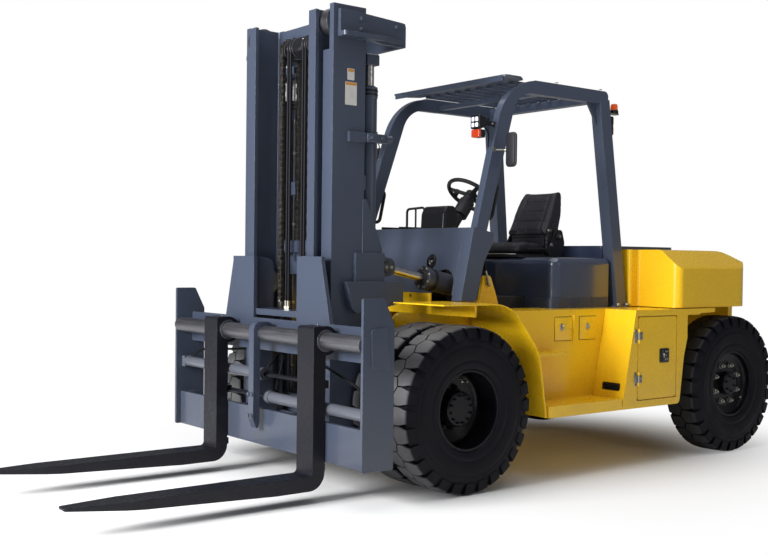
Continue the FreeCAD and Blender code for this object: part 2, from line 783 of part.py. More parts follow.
def counterweight():
    """Cast counterweight: waist beside the guard's legs, shoulders over the steer wheels,
    a crowned top, a tapered tail and a keel scalloped for the turning wheels."""
    plan = [
        (-cw_waist_half, cw_front_y, 20), (cw_waist_half, cw_front_y, 20),
        (cw_waist_half, cw_shoulder_y, 20),
        (cw_half, cw_shoulder_y, 60), (cw_half, cw_taper_y, 160), (cw_rear_half, cw_rear_y, 180),
        (-cw_rear_half, cw_rear_y, 180), (-cw_half, cw_taper_y, 160), (-cw_half, cw_shoulder_y, 60),
        (-cw_waist_half, cw_shoulder_y, 20),
    ]
    upper = slab_z(plan, cw_bottom_z, cw_top_z)
    crown = slab_y([
        (-cw_half - 5, cw_bottom_z - 5), (cw_half + 5, cw_bottom_z - 5), (cw_half + 5, cw_edge_z, 60),
        (cw_edge_x, cw_top_z, 60), (-cw_edge_x, cw_top_z, 60), (-cw_half - 5, cw_edge_z, 60),
    ], cw_front_y - 5, cw_rear_y + 5)
    tail = slab_x([
        (cw_front_y - 5, cw_bottom_z - 5), (cw_rear_y + 5, cw_bottom_z - 5),
        (cw_rear_y + 5, cw_tail_low_z, 150),
        (cw_tail_y, cw_top_z, 250), (cw_front_y - 5, cw_top_z),
    ], -cw_half - 5, cw_half + 5)
    upper = upper.common(crown).common(tail)
    keel = slab_x([
        (wheelbase + 125, cw_low_z + 330, 40), (wheelbase + 260, cw_low_z, 40), (cw_rear_y, cw_low_z, 80),
        (cw_rear_y, cw_bottom_z + 40), (wheelbase + 125, cw_bottom_z + 40),
    ], -cw_low_half, cw_low_half)
    z = tyre_radius
    for sign in (1, -1):
        x = sign * kingpin_x
        keel = keel.cut(rod(V(x, wheelbase, cw_low_z - 10), V(x, wheelbase, cw_bottom_z), steer_sweep))
    keel = keel.cut(rod(V(0, wheelbase, z), V(0, wheelbase + 225, z), trunnion_radius + journal_gap))
    keel = keel.cut(box(-140, 140, cw_rear_y - 120, cw_rear_y + 5, 600, 680))
    y = cw_rear_y - drawbar_inset
    keel = keel.cut(rod(V(0, y, drawbar_low_z), V(0, y, drawbar_high_z), drawbar_pin_radius + 1.0))
    keel = keel.cut(box(-70, 70, y - 60, cw_rear_y + 5, drawbar_pocket_z, drawbar_pocket_z + 150))
    body = fused([upper, keel])
    for x in (-lifting_hole_x, lifting_hole_x):
        body = body.cut(rod(V(x, lifting_hole_y, cw_top_z - lifting_hole_depth),
                            V(x, lifting_hole_y, cw_top_z + 5),
                            lifting_hole_radius))
    return body


def drawbar_pin():
    """Towing pin through the slot in the counterweight's tail, its grip in the pocket above."""
    y = cw_rear_y - drawbar_inset
    pin = rod(V(0, y, drawbar_low_z + seat_gap), V(0, y, drawbar_pocket_z + 40), drawbar_pin_radius)
    collar = rod(V(0, y, drawbar_pocket_z + seat_gap), V(0, y, drawbar_pocket_z + 14),
                 drawbar_pin_radius + 12)
    grip = rod(V(-52, y, drawbar_pocket_z + 52), V(52, y, drawbar_pocket_z + 52), 13)
    return fused([pin, collar, grip])


def battery_pack():
    """Traction battery as one plain block under the hood."""
    return box(-battery_half, battery_half, hood_front_y + 60, hood_rear_y - 30, sill_z + 30 + seat_gap,
               battery_top_z)


def controller_cabinet():
    """Grey box between the hood and the counterweight, with the cover over the casting."""
    half = leg_inner_x - 20
    y0 = cabinet_y
    housing = box(-half, half, y0, cw_front_y - seat_gap, deck_z + seat_gap, cw_top_z + 10)
    lid = slab_z([
        (-half, y0, 30), (half, y0, 30), (half, cw_tail_y - 90, 120), (-half, cw_tail_y - 90, 120),
    ], cw_top_z + seat_gap, cw_top_z + 26)
    knuckles = []
    for x in (-hood_hinge_x, hood_hinge_x):
        for side in (-1, 1):
            knuckles.append(hinge_knuckle(x + side * (hood_knuckle + seat_gap), y0 + 5))
    return fused([housing, lid] + knuckles)


def hinge_knuckle(x, leaf_y):
    """Hood hinge knuckle along X with the leaf that joins it to a plate at leaf_y."""
    half = hood_knuckle / 2
    y, z = hood_hinge_y, hood_hinge_z
    barrel = rod(V(x - half, y, z), V(x + half, y, z), hood_hinge_radius)
    leaf = box(x - half, x + half, min(y, leaf_y), max(y, leaf_y), z - 4, z + 4)
    return barrel.fuse(leaf)


# ---- operator's place -----------------------------------------------------------------------
def hood():
    """Seat hood: front wall, side walls and top, open below and behind."""
    low = floor_z + floor_sheet + seat_gap
    plan = [
        (-hood_half, hood_front_y, hood_corner), (hood_half, hood_front_y, hood_corner),
        (hood_half, hood_rear_y),
        (-hood_half, hood_rear_y),
    ]
    w = hood_wall
    inside = [
        (-hood_half + w, hood_front_y + w, hood_corner - w),
        (hood_half - w, hood_front_y + w, hood_corner - w),
        (hood_half - w, hood_rear_y + 1), (-hood_half + w, hood_rear_y + 1),
    ]
    shell = slab_z(plan, low, hood_top_z)
    top_edges = [e for e in shell.Edges if abs(e.BoundBox.ZMin - hood_top_z) < 1e-6
                 and abs(e.BoundBox.ZMax - hood_top_z) < 1e-6 and e.BoundBox.YMin < hood_rear_y - 1]
    shell = shell.makeFillet(hood_round, top_edges)
    shell = shell.cut(slab_z(inside, low - 1, hood_top_z - w - hood_round))
    parts = [shell]
    for x in (-hood_hinge_x, hood_hinge_x):
        parts.append(hinge_knuckle(x, hood_rear_y - 5))
    return fused(parts)


def seat_plinth():
    """Mat under the seat on top of the hood."""
    return slab_z([
        (-300, seat_front_y - 20, 40), (300, seat_front_y - 20, 40), (300, seat_front_y + 500, 30),
        (-300, seat_front_y + 500, 30),
    ], hood_top_z + seat_gap, plinth_top_z)


def seat_base():
    """Slide rails, the block that carries the backrest, and its two recliner plates."""
    y = seat_front_y
    parts = [box(-215, 215, y + 20, y + 450, plinth_top_z + seat_gap, seat_pan_z)]
    parts.append(slab_x([
        (y + 345, seat_pan_z - 2), (y + 460, seat_pan_z - 2), (y + 470, backrest_low_z - seat_gap, 10),
        (y + 345, backrest_low_z - seat_gap, 10),
    ], -175, 175))
    for sign in (1, -1):
        plate = slab_x([
            (y + 330, plinth_top_z + seat_gap, 20), (y + 480, plinth_top_z + seat_gap, 30),
            (y + 500, seat_pan_z + 90, 60),
            (y + 470, seat_pan_z + 190, 30), (y + 400, seat_pan_z + 190, 30),
            (y + 330, seat_pan_z + 60, 40),
        ], sign * seat_side_x - 5, sign * seat_side_x + 5)
        link = box(min(sign * 170, sign * seat_side_x), max(sign * 170, sign * seat_side_x), y + 380,
                   y + 450,
                   plinth_top_z + seat_gap, seat_pan_z)
        parts += [plate, link]
    return fused(parts)


def seat_cushion():
    """Seat pad, a little higher at its front edge."""
    y = seat_front_y
    return slab_x([
        (y, seat_pan_z + seat_gap, 25), (y, seat_pan_z + 95, 40), (y + 330, seat_pan_z + 82, 20),
        (y + 340, seat_pan_z + seat_gap, 20),
    ], -seat_half, seat_half)


def seat_backrest():
    """Backrest pad: it leans back and curves forward at its foot."""
    y = seat_front_y
    low = backrest_low_z
    return slab_x([
        (y + 318, low, 15), (y + 312, low + 30, 15), (y + 362, low + 120, 80), (y + 412, low + 230, 200),
        (y + 472, low + 375, 42), (y + 548, low + 372, 32), (y + 520, low + 180, 150), (y + 468, low, 20),
    ], -seat_half, seat_half)


def instrument_pod():
    """Moulded dash binnacle behind the cowl, ahead of the steering column."""
    y = cowl_y + 60
    z = cowl_top_z
    front = pod_front_y
    return slab_x([
        (y + seat_gap, z - 60), (y + seat_gap, z - 3), (front, z - 3, 12), (front + 6, z + 120, 60),
        (front + 40, z + 172, 36), (front + 118, z + 174, 40), (front + 150, z + 96),
        (front + 84, z - 44), (front + 50, z - 60),
    ], -pod_half, pod_half)


def dash_rail():
    """Thin tubular rail on the right of the dash, carried back from the cowl's top."""
    y = pod_front_y + 55
    z = cowl_top_z + seat_gap + 9
    low, high = -350, -pod_half - 15
    hoop = bent_bar([
        V(low, cowl_y + 15, z), V(low, y, z), V(low, y, z + 150), V(high, y, z + 158), V(high, y, z),
        V(high, cowl_y + 15, z),
    ], 9, 28)
    middle_x = (low + high) / 2
    foot = rod(V(low, y, z + 4), V(high, y, z + 4), 7)
    post = rod(V(middle_x, y, z), V(middle_x, y, z + 154), 7)
    return fused([hoop, foot, post])


def steering_column():
    """Column from the toe board up to the wheel, with its boot and switch housing."""
    low = V(0, column_low_y, column_low_z)
    high = V(0, wheel_y, wheel_z)
    axis = high - low
    axis.normalize()
    post = rod(low, high - axis * 60, 38)
    boot = Part.makeCone(78, 44, 190, low, axis)
    head = rod(high - axis * 190, high - axis * 60, 58)
    shaft = rod(high - axis * 70, high - axis * (18 + seat_gap), 14)
    return fused([post, boot, head, shaft]).cut(toe_space())


def steering_wheel():
    """Three-spoke wheel with its hub and spinner knob."""
    ring = Part.makeTorus(wheel_ring_radius, wheel_ring_bar, V(0, 0, 0), V(0, 0, 1))
    hub = rod(V(0, 0, -18), V(0, 0, 16), 46)
    parts = [ring, hub]
    for i in range(3):
        spoke = slab_z([(30, -20), (wheel_ring_radius - 4, -14), (wheel_ring_radius - 4, 14), (30, 20)],
                       -7, 7)
        spoke.rotate(V(0, 0, 0), V(0, 0, 1), 90 + 120 * i)
        parts.append(spoke)
    knob = rod(V(-wheel_ring_radius, 0, 10), V(-wheel_ring_radius, 0, 62), 19)
    parts.append(knob)
    wheel = fused(parts)
    bore = rod(V(0, 0, -30), V(0, 0, -17.9), 1)
    wheel = wheel.cut(bore)
    high = V(0, wheel_y, wheel_z)
    low = V(0, column_low_y, column_low_z)
    axis = high - low
    angle = math.degrees(math.atan2(axis.y, axis.z))
    wheel.rotate(V(0, 0, 0), V(1, 0, 0), -angle)
    wheel.translate(high)
    return wheel


def pedals():
    """Accelerator on the right, brake and inching pedals, hung on stalks over the floor."""
    shapes = []
    for x, half in ((-230, 38), (-95, 45), (150, 45)):
        plate = slab_x([
            (cowl_y + 215, floor_z + 95), (cowl_y + 290, floor_z + 20, 3),
            (cowl_y + 298, floor_z + 28, 3), (cowl_y + 223, floor_z + 103),
        ], x - half, x + half)
        stalk = rod(V(x, cowl_y + 228, floor_z + 80), V(x, cowl_y + 150, floor_z + 50), 9)
        shapes.append(fused([plate, stalk]).cut(toe_space()))
    return Part.makeCompound(shapes)


def lever_console():
    """Console on the operator's right with four hydraulic levers."""
    y0 = hood_front_y - 210
    parts = [slab_x([
        (y0 - 60, floor_z + 8 + seat_gap), (y0 - 60, 1540, 30), (y0 + 90, 1580, 30),
        (y0 + 90, floor_z + 8 + seat_gap),
    ], -floor_half + 12, -floor_half + 100)]
    for i in range(4):
        x = -floor_half + 26 + i * 20
        y = y0 + 30
        parts.append(rod(V(x, y, 1540), V(x, y + 20, 1700), 6))
        parts.append(rod(V(x, y + 18, 1690), V(x, y + 22, 1722), 9.5))
    return fused(parts)


def grab_handles():
    """Grab handles on the rear faces of both front posts."""
    x = leg_outer_x - post_width / 2 - 14
    y = 535
    bar = bent_bar([
        V(x, y - 14, 1742), V(x, y + 55, 1752), V(x, y + 108, 1990), V(x, y + 47, 2000),
    ], 13, 38)
    return pair(bar)


def lamp_solids(kind):
    """Headlamps or direction signals on arms ahead of the front posts."""
    x0, x1 = lamp_x - 44, lamp_x + 44
    y0, y1 = lamp_y - 38, lamp_y + 36
    if kind == "head":
        body = slab_y([(x0, lamp_z, 14), (x1, lamp_z, 14), (x1, lamp_z + 96, 14), (x0, lamp_z + 96, 14)],
                      y0, y1)
        arm = box(lamp_x - 6, lamp_x + 18, y1 - 4, y1 + 160, lamp_z + 30, lamp_z + 66)
        return pair(fused([body, arm]))
    top = lamp_z - seat_gap
    return pair(slab_y([(x0 + 5, top - 58, 10), (x1 - 5, top - 58, 10), (x1 - 5, top, 4),
                        (x0 + 5, top, 4)], y0 + 4, y1 - 4))


def rear_lamps():
    """Tail lamps on the backs of the guard's rear legs."""
    y = roof_rear_y + 70
    plate = slab_x([
        (roof_rear_y + 42, 2420), (y, 2414, 8), (y, 2560, 8), (roof_rear_y + 30, 2560),
    ], 560, 616)
    return pair(plate)


def beacon():
    """Amber beacon on a shelf behind the left rear leg."""
    y = roof_rear_y + 100
    x, z = beacon_x, beacon_z
    low, high = x - 28, x + 28
    shelf = slab_z([(low, roof_rear_y + 5), (high, roof_rear_y + 5), (high, y + 36, 20),
                    (low, y + 36, 20)], z, z + 8)
    base = rod(V(x, y, z + 8), V(x, y, z + 31), 34)
    lens = rod(V(x, y, z + 31), V(x, y, z + 85), 27)
    return fused([shelf, base, lens])


def mirrors():
    """Tall rear-view mirrors on arms from both front posts."""
    y, z = mirror_y, mirror_z
    inner, outer = leg_outer_x + 19, leg_outer_x + 119
    head = slab_y([(inner, z - 120, 26), (outer, z - 120, 26), (outer, z + 120, 26),
                   (inner, z + 120, 26)], y - 14, y + 14)
    arm = rod(V(inner - 50, y - 65, z), V(inner + 10, y, z), 7)
    return pair(fused([head, arm]))


# ---- mast -----------------------------------------------------------------------------------
def outer_rail():
    """Outer mast rail: a channel that opens inward, its front flange notched at the top."""
    x1 = mast_half
    x0 = x1 - rail_plate
    y0 = mast_front_y
    y1 = y0 + outer_rail_depth
    reach = x1 - outer_flange_reach
    rail = slab_z([
        (x1, y0), (x1, y1), (reach, y1), (reach, y1 - 22), (x0, y1 - 26, 12), (x0, y0 + 30, 12),
        (reach, y0 + 26), (reach, y0),
    ], mast_bottom_z, mast_top_z)
    notch = box(reach - 1, reach + 66, y0 - 1, y0 + 31, mast_top_z - 280, mast_top_z + 1)
    return rail.cut(notch)


def outer_mast():
    """Outer mast: rails, bottom and top crossmembers, pivot lugs and tilt brackets."""
    rail = outer_rail()
    y1 = mast_front_y + outer_rail_depth
    x = mast_half
    lug = slab_x([
        (y1, mast_pivot_z - 90), (mast_pivot_y - 20, mast_pivot_z - 62, 40),
        (mast_pivot_y + 62, mast_pivot_z - 62, 58),
        (mast_pivot_y + 62, mast_pivot_z + 62, 58), (mast_pivot_y - 20, mast_pivot_z + 62, 40),
        (y1, mast_pivot_z + 90),
    ], lug_inner_x, lug_inner_x + lug_width)
    shelf = box(lift_cylinder_x - 60, mast_half, y1 - 2, lift_cylinder_y + 50, mast_bottom_z,
                mast_bottom_z + 22)
    gusset = slab_x([
        (-590, 1317), (-140, 1317), (-140, 1185), (-420, 1120, 60), (-540, 1120, 60),
    ], x - 2, x + 56)
    yoke_x = tilt_cylinder_x
    wrap_y = lift_cylinder_y + lift_barrel_radius + running_gap
    wrap_z = (tilt_eye_z - 60, tilt_eye_z + 90)
    outboard = box(x - 2, x + 24, -500, wrap_y + 14, wrap_z[0] - 34, wrap_z[1])
    inboard = box(lift_cylinder_x - 82, lift_cylinder_x - 62, y1 - 4, wrap_y + 14, wrap_z[0], wrap_z[1])
    bridge = box(lift_cylinder_x - 82, x + 24, wrap_y, wrap_y + 14, wrap_z[0], wrap_z[1])
    ears = []
    for inner in (yoke_x - ear_offset - ear_plate, yoke_x + ear_offset):
        ears.append(slab_x([
            (wrap_y + 12, wrap_z[0]), (tilt_eye_y + 60, wrap_z[0], 56),
            (tilt_eye_y + 60, tilt_eye_z + 60, 56), (tilt_eye_y - 10, tilt_eye_z + 60, 20),
            (wrap_y + 12, wrap_z[1]),
        ], inner, inner + ear_plate))
    tie_side = slab_x([
        (-640, 2870), (-300, 2830, 60), (-120, 2830), (-120, 2985, 30), (-560, 3010, 30), (-640, 3010),
    ], x - 2, x + 26)
    tie_flange = slab_z([
        (x - 2, -640), (x + 78, -640, 20), (x + 78, -300, 60), (x + 26, -120), (x - 2, -120),
    ], 2842, 2870)
    brace = slab_x([
        (y1 - 12, wrap_z[1] - 10), (wrap_y + 8, wrap_z[1] - 10), (wrap_y + 8, wrap_z[1] + 30, 20),
        (y1 + 16, 1840, 12), (y1 - 12, 1840),
    ], x - 6, x + 6)
    clamp = box(x - 2, x + 22, -560, y1 - 6, clamp_z - 32, clamp_z + 32)
    clamp_stub = rod(V(x + 10, y1 - 40, clamp_z), V(x + 10, -236, clamp_z), 14)
    clamp_head = rod(V(x + 10, -262, clamp_z), V(x + 10, -222, clamp_z), 26)
    half = fused([rail, lug, shelf, gusset, outboard, inboard, bridge, tie_side, tie_flange, brace, clamp,
                  clamp_stub,
                  clamp_head] + ears)
    pivot_hole = rod(V(lug_inner_x - 5, mast_pivot_y, mast_pivot_z),
                     V(lug_inner_x + lug_width + 5, mast_pivot_y, mast_pivot_z),
                     pivot_pin_radius + journal_gap)
    eye_hole = rod(V(yoke_x - 80, tilt_eye_y, tilt_eye_z), V(yoke_x + 80, tilt_eye_y, tilt_eye_z),
                   tilt_pin_radius + tilt_drift)
    half = half.cut(pivot_hole).cut(eye_hole)
    back_y = y1 + tie_plate
    bottom = box(-mast_half, mast_half, y1 - 2, back_y, mast_bottom_z, mast_pivot_z + 90)
    low_tie = box(-mast_half + 2, mast_half - 2, y1 - 2, back_y, 1350, chain_anchor_z - 20)
    anchor = box(-chain_x - 40, chain_x + 40, chain_rear_y - 10, back_y, chain_anchor_z - 60,
                 chain_anchor_z)
    high_tie = box(-mast_half + 2, mast_half - 2, y1 - 2, back_y, 1900, 1990)
    top_bar = box(-mast_half - 20, mast_half + 20, -150, -120, 2830, 2985)
    body = fused([half, mirrored(half), bottom, low_tie, anchor, high_tie, top_bar])
    stub = rod(V(guide_roller_x, guide_roller_y, guide_roller_z),
               V(mast_half - 4, guide_roller_y, guide_roller_z), 26)
    return fused([body, stub, mirrored(stub)])


def lift_barrels():
    """Two lift cylinder barrels behind the outer rails, open at the top for the rods."""
    x, y = lift_cylinder_x, lift_cylinder_y
    z0 = mast_bottom_z + 22 + seat_gap
    barrel = rod(V(x, y, z0), V(x, y, lift_barrel_top_z), lift_barrel_radius)
    gland = rod(V(x, y, lift_barrel_top_z - 70), V(x, y, lift_barrel_top_z), lift_barrel_radius + 3)
    barrel = barrel.fuse(gland)
    bore = rod(V(x, y, z0 + 40), V(x, y, lift_barrel_top_z - 60), lift_barrel_bore)
    mouth = rod(V(x, y, z0 + 40), V(x, y, lift_barrel_top_z + 1), lift_rod_radius + seat_gap)
    return pair(barrel.cut(bore).cut(mouth))


def inner_rail():
    """Inner mast rail: flanges and web, open toward the middle for the carriage rollers."""
    x1 = inner_rail_half
    x0 = x1 - inner_flange_reach
    y0 = inner_rail_front_y
    y1 = y0 + inner_rail_depth
    web0, web1 = x1 - 32, x1 - 12
    return slab_z([
        (x0, y0), (x1, y0), (x1, y0 + 24), (web1, y0 + 26), (web1, y1 - 26), (x1, y1 - 24), (x1, y1),
        (x0, y1), (x0, y1 - 24), (web0, y1 - 28, 10), (web0, y0 + 28, 10), (x0, y0 + 24),
    ], inner_bottom_z, inner_top_z)


def inner_mast():
    """Inner mast: rails, crossmembers, and the head that sits on the lift rods."""
    rail = inner_rail()
    y1 = inner_rail_front_y + inner_rail_depth
    x = inner_rail_half
    top = box(-x + 10, x - 10, y1 - 26, y1, inner_crossbar_z, inner_top_z - 5)
    head = slab_y([
        (-lift_cylinder_x - 48, head_low_z), (lift_cylinder_x + 48, head_low_z),
        (lift_cylinder_x + 48, head_low_z + 70, 20),
        (300, head_low_z + 110, 60), (-300, head_low_z + 110, 60),
        (-lift_cylinder_x - 48, head_low_z + 70, 20),
    ], lift_cylinder_y - 48, lift_cylinder_y + 48)
    link = box(chain_x + 40, x - 12, y1 - 4, lift_cylinder_y - 40, head_low_z + 20, head_low_z + 70)
    low = box(-x + 10, x - 10, y1 - 24, y1, inner_bottom_z + 10, inner_bottom_z + 150)
    middle = box(-x + 10, x - 10, y1 - 20, y1, 1500, 1580)
    return fused([rail, mirrored(rail), top, head, link, mirrored(link), low, middle])


def mast_rollers():
    """Guide rollers of the outer mast, in the outer grooves of the inner rails."""
    y, z = guide_roller_y, guide_roller_z
    end = mast_half - outer_flange_reach + 60
    radius = inner_rail_depth / 2 - 26 - 4
    roller = rod(V(inner_rail_half - 6, y, z), V(end, y, z), radius)
    roller = roller.cut(rod(V(inner_rail_half - 7, y, z), V(end + 1, y, z), 26 + seat_gap))
    return pair(roller)


def lift_rods():
    """Polished lift rods, seated under the head of the inner mast."""
    x, y = lift_cylinder_x, lift_cylinder_y
    return pair(rod(V(x, y, 900), V(x, y, head_low_z - seat_gap), lift_rod_radius))


def chain_pulleys():
    """Chain wheels and their yokes, hung from the inner mast's top crossmember."""
    shapes = []
    y = chain_front_y + chain_wheel_radius
    z = chain_wheel_z
    y1 = inner_rail_front_y + inner_rail_depth
    for x in (-chain_x, chain_x):
        wheel = turned_x([
            (x - 26, 0), (x - 26, chain_wheel_radius + 8), (x - 18, chain_wheel_radius + 8),
            (x - 18, chain_wheel_radius - 8),
            (x + 18, chain_wheel_radius - 8), (x + 18, chain_wheel_radius + 8),
            (x + 26, chain_wheel_radius + 8), (x + 26, 0),
        ], y, z)
        yoke = []
        for side in (-42, 30):
            yoke.append(box(x + side, x + side + 12, y - 24, y1, z - 30, inner_crossbar_z - seat_gap))
        axle = rod(V(x - 44, y, z), V(x + 44, y, z), 16)
        shapes.append(fused([wheel, axle] + yoke))
    return Part.makeCompound(shapes)


def chain_runs(front):
    """Straight runs of the two leaf chains in front of or behind their wheels."""
    shapes = []
    y = chain_front_y if front else chain_rear_y
    low = chain_beam_z + seat_gap if front else chain_anchor_z + seat_gap
    for x in (-chain_x, chain_x):
        shapes.append(box(x - 16, x + 16, y - 7, y + 7, low, chain_wheel_z))
    return Part.makeCompound(shapes)


def hose_runs(front):
    """Straight runs of the four hoses to the carriage, beside the chains."""
    shapes = []
    y = chain_front_y if front else chain_rear_y
    low = chain_beam_z + seat_gap if front else chain_anchor_z + seat_gap
    for x in (-chain_x + 66, -chain_x + 96, chain_x - 66, chain_x - 96):
        shapes.append(rod(V(x, y, low), V(x, y, chain_wheel_z), 9))
    return Part.makeCompound(shapes)


def hose_wheels():
    """Hose wheels beside the chain wheels, on one shaft under the top crossmember."""
    y = chain_front_y + chain_wheel_radius
    z = chain_wheel_z
    r = chain_wheel_radius
    shapes = []
    for sign in (1, -1):
        x = sign * (chain_x - 81)
        shapes.append(turned_x([
            (x - 32, 0), (x - 32, r + 4), (x - 26, r + 4), (x - 22, r - 12), (x - 8, r - 12),
            (x - 3, r + 4), (x + 3, r + 4),
            (x + 8, r - 12), (x + 22, r - 12), (x + 26, r + 4), (x + 32, r + 4), (x + 32, 0),
        ], y, z))
    shaft = rod(V(-chain_x + 46, y, z), V(chain_x - 46, y, z), 14)
    return fused(shapes + [shaft])


# ---- tilt cylinders -------------------------------------------------------------------------
def tilt_axis():
    """Direction of the left tilt cylinder, from its rod eye to its foot."""
    axis = V(0, tilt_pin_y - tilt_eye_y, tilt_pin_z - tilt_eye_z)
    axis.normalize()
    return axis


def tilt_barrel():
    """Left tilt cylinder barrel from its front flange to the eye on the frame's pin."""
    axis = tilt_axis()
    x = tilt_cylinder_x
    eye = V(x, tilt_eye_y, tilt_eye_z)
    pin = V(x, tilt_pin_y, tilt_pin_z)
    front = eye + axis * tilt_rod_show
    back = pin - axis * 58
    barrel = rod(front, back, tilt_barrel_radius)
    flange = rod(front, front + axis * 30, tilt_barrel_radius + 8)
    eye_body = rod(pin - V(34, 0, 0), pin + V(34, 0, 0), 50)
    body = fused([barrel, flange, eye_body])
    mouth = rod(front - axis, back - axis * 30, tilt_rod_radius + seat_gap)
    bore = rod(front + axis * 60, back - axis * 30, tilt_barrel_radius - 14)
    body = body.cut(mouth).cut(bore)
    body = body.cut(rod(pin - V(40, 0, 0), pin + V(40, 0, 0), frame_pin_radius + journal_gap))
    port = rod(back - axis * 60, back - axis * 60 + V(0, 0, tilt_barrel_radius + 34), 13)
    return fused([body, port.cut(rod(front, back, tilt_barrel_radius - 4))])


def tilt_rod():
    """Left tilt rod with its eye, and the capped pin that passes the mast's ears."""
    axis = tilt_axis()
    eye = V(tilt_cylinder_x, tilt_eye_y, tilt_eye_z)
    bar = rod(eye + axis * 20, eye + axis * (tilt_rod_show + tilt_rod_inside), tilt_rod_radius)
    head = rod(eye - V(30, 0, 0), eye + V(30, 0, 0), tilt_head_radius)
    neck = rod(eye + axis * 30, eye + axis * 74, 36)
    reach = ear_offset + ear_plate + seat_gap
    pin = rod(eye - V(reach + 2, 0, 0), eye + V(reach + 2, 0, 0), tilt_pin_radius)
    caps = [rod(eye + V(d * reach, 0, 0), eye + V(d * (reach + 10), 0, 0),
                tilt_head_radius + 2) for d in (-1, 1)]
    return fused([bar, head, neck, pin] + caps)


# ---- carriage -------------------------------------------------------------------------------
def carriage_frame():
    """Carriage: beams, fork stop plate, roller plates, cheek plates and end plates."""
    y0 = carriage_plate_y
    y1 = y0 + carriage_plate
    inner = carriage_half - end_plate
    stop_y = shaft_y - fork_eye_radius + fork_thickness + running_gap
    parts = [box(-inner, inner, y0, y1, carriage_top_z - 75, carriage_top_z)]
    parts.append(box(-inner, inner, y0, y1, 850, 915))
    parts.append(box(-inner, inner, stop_y, stop_y + 36, end_plate_bottom_z,
                     end_plate_bottom_z + stop_plate_height))
    end = slab_x([
        (-885, end_plate_bottom_z, 10), (-660, end_plate_bottom_z, 10), (-660, end_plate_top_z - 150),
        (-735, end_plate_top_z, 20), (-885, end_plate_top_z, 10),
    ], inner - 2, carriage_half - end_pad)
    pad = slab_x([
        (-822, 838, 18), (-700, 826, 18), (-712, 1070, 18), (-830, 1062, 18),
    ], carriage_half - end_pad - 1, carriage_half)
    cheek = slab_y([
        (cheek_inner_x, carriage_top_z - 10), (cheek_outer_low_x, carriage_top_z - 10),
        (cheek_outer_high_x, carriage_top_z + 380, 20),
        (cheek_outer_high_x, cheek_top_z), (cheek_inner_x, cheek_top_z),
    ], y0, y1)
    roller_plate = slab_x([
        (y1 - 5, end_plate_bottom_z + 40), (y1 + 150, end_plate_bottom_z + 60, 40),
        (y1 + 150, cheek_top_z - 20, 60), (y1 - 5, cheek_top_z),
    ], roller_plate_x - 24, roller_plate_x)
    upright = box(roller_plate_x - 30, roller_plate_x + 30, y0, y1, end_plate_bottom_z + 40,
                  cheek_top_z - 300)
    rib = box(roller_plate_x - 24, roller_plate_x, stop_y, y1, end_plate_bottom_z + 20,
              end_plate_bottom_z + stop_plate_height)
    side_web = box(inner - 60, inner, stop_y, y0 + 10, end_plate_bottom_z,
                   end_plate_bottom_z + stop_plate_height)
    anchor = box(-2, roller_plate_x, y1 - 5, chain_front_y + 22, chain_beam_z - 40, chain_beam_z)
    half = [end, pad, cheek, roller_plate, upright, rib, side_web, anchor]
    return fused(parts + half + [mirrored(s) for s in half])


def carriage_rollers():
    """Carriage rollers that run in the inner rails, with their stub axles."""
    y = inner_rail_front_y + inner_rail_depth / 2
    web = inner_rail_half - 32
    shapes = []
    for z in (460, 860, 1300):
        roller = rod(V(roller_plate_x + seat_gap, y, z), V(web - running_gap, y, z), roller_radius)
        shapes += [roller, mirrored(roller)]
    return Part.makeCompound(shapes)


def fork_shaft():
    """Round bar that the forks hang on, with the hanger that holds its middle."""
    inner = carriage_half - end_plate - 2 - seat_gap
    return rod(V(-inner, shaft_y, shaft_z), V(inner, shaft_y, shaft_z), shaft_radius)


def shaft_hanger():
    """Hooked strap round the middle of the shaft, bolted down to the stop plate."""
    front = shaft_y - shaft_radius - 28
    strap = slab_x([
        (front, 420), (front + 34, 340, 10), (front + 50, 400), (front + 50, shaft_z - 30),
        (shaft_y + shaft_radius + 20, shaft_z - 30), (shaft_y + shaft_radius + 20,
                                                      shaft_z + shaft_radius + 24, 50),
        (front, shaft_z + shaft_radius + 24, 50),
    ], -hanger_half, hanger_half)
    strap = strap.cut(rod(V(-40, shaft_y, shaft_z), V(40, shaft_y, shaft_z), shaft_radius + seat_gap))
    return strap


def fork(x):
    """Fork: tapered blade, heel, shank and the eye that slides on the shaft."""
    half = fork_width / 2
    face = shaft_y - fork_eye_radius
    back = face + fork_thickness
    top = fork_top_z
    tip = face - fork_length
    side = [
        (face, shaft_z), (face, top, 26), (tip, top, 6), (tip, top - 16, 8), (tip + 420, top - 52, 300),
        (face - 250, top - fork_thickness), (back, top - fork_thickness, 105), (back, shaft_z),
    ]
    body = slab_x(side, x - half, x + half)
    taper = slab_z([
        (x - half * 0.45, tip - 5, 30), (x + half * 0.45, tip - 5, 30), (x + half + 1, tip + 330, 300),
        (x + half + 1, back + 50),
        (x - half - 1, back + 50), (x - half - 1, tip + 330, 300),
    ], 0, shaft_z + 200)
    body = body.common(taper)
    eye = rod(V(x - half, shaft_y, shaft_z), V(x + half, shaft_y, shaft_z), fork_eye_radius)
    web = slab_x([
        (face, shaft_z - 60), (face, shaft_z + fork_eye_radius - 2, 18),
        (shaft_y, shaft_z + fork_eye_radius - 2),
        (back, shaft_z), (back, shaft_z - 60),
    ], x - half, x + half)
    body = fused([body, eye, web])
    body = body.cut(rod(V(x - half - 5, shaft_y, shaft_z), V(x + half + 5, shaft_y, shaft_z),
                        shaft_radius + journal_gap))
    hook = slab_x([
        (back - 4, 196), (back + 30, 196, 6), (back + 30, 222), (back + 44, 222, 4), (back + 44, 178, 6),
        (back - 4, 178),
    ], x - 30, x + 30)
    return fused([body, hook])


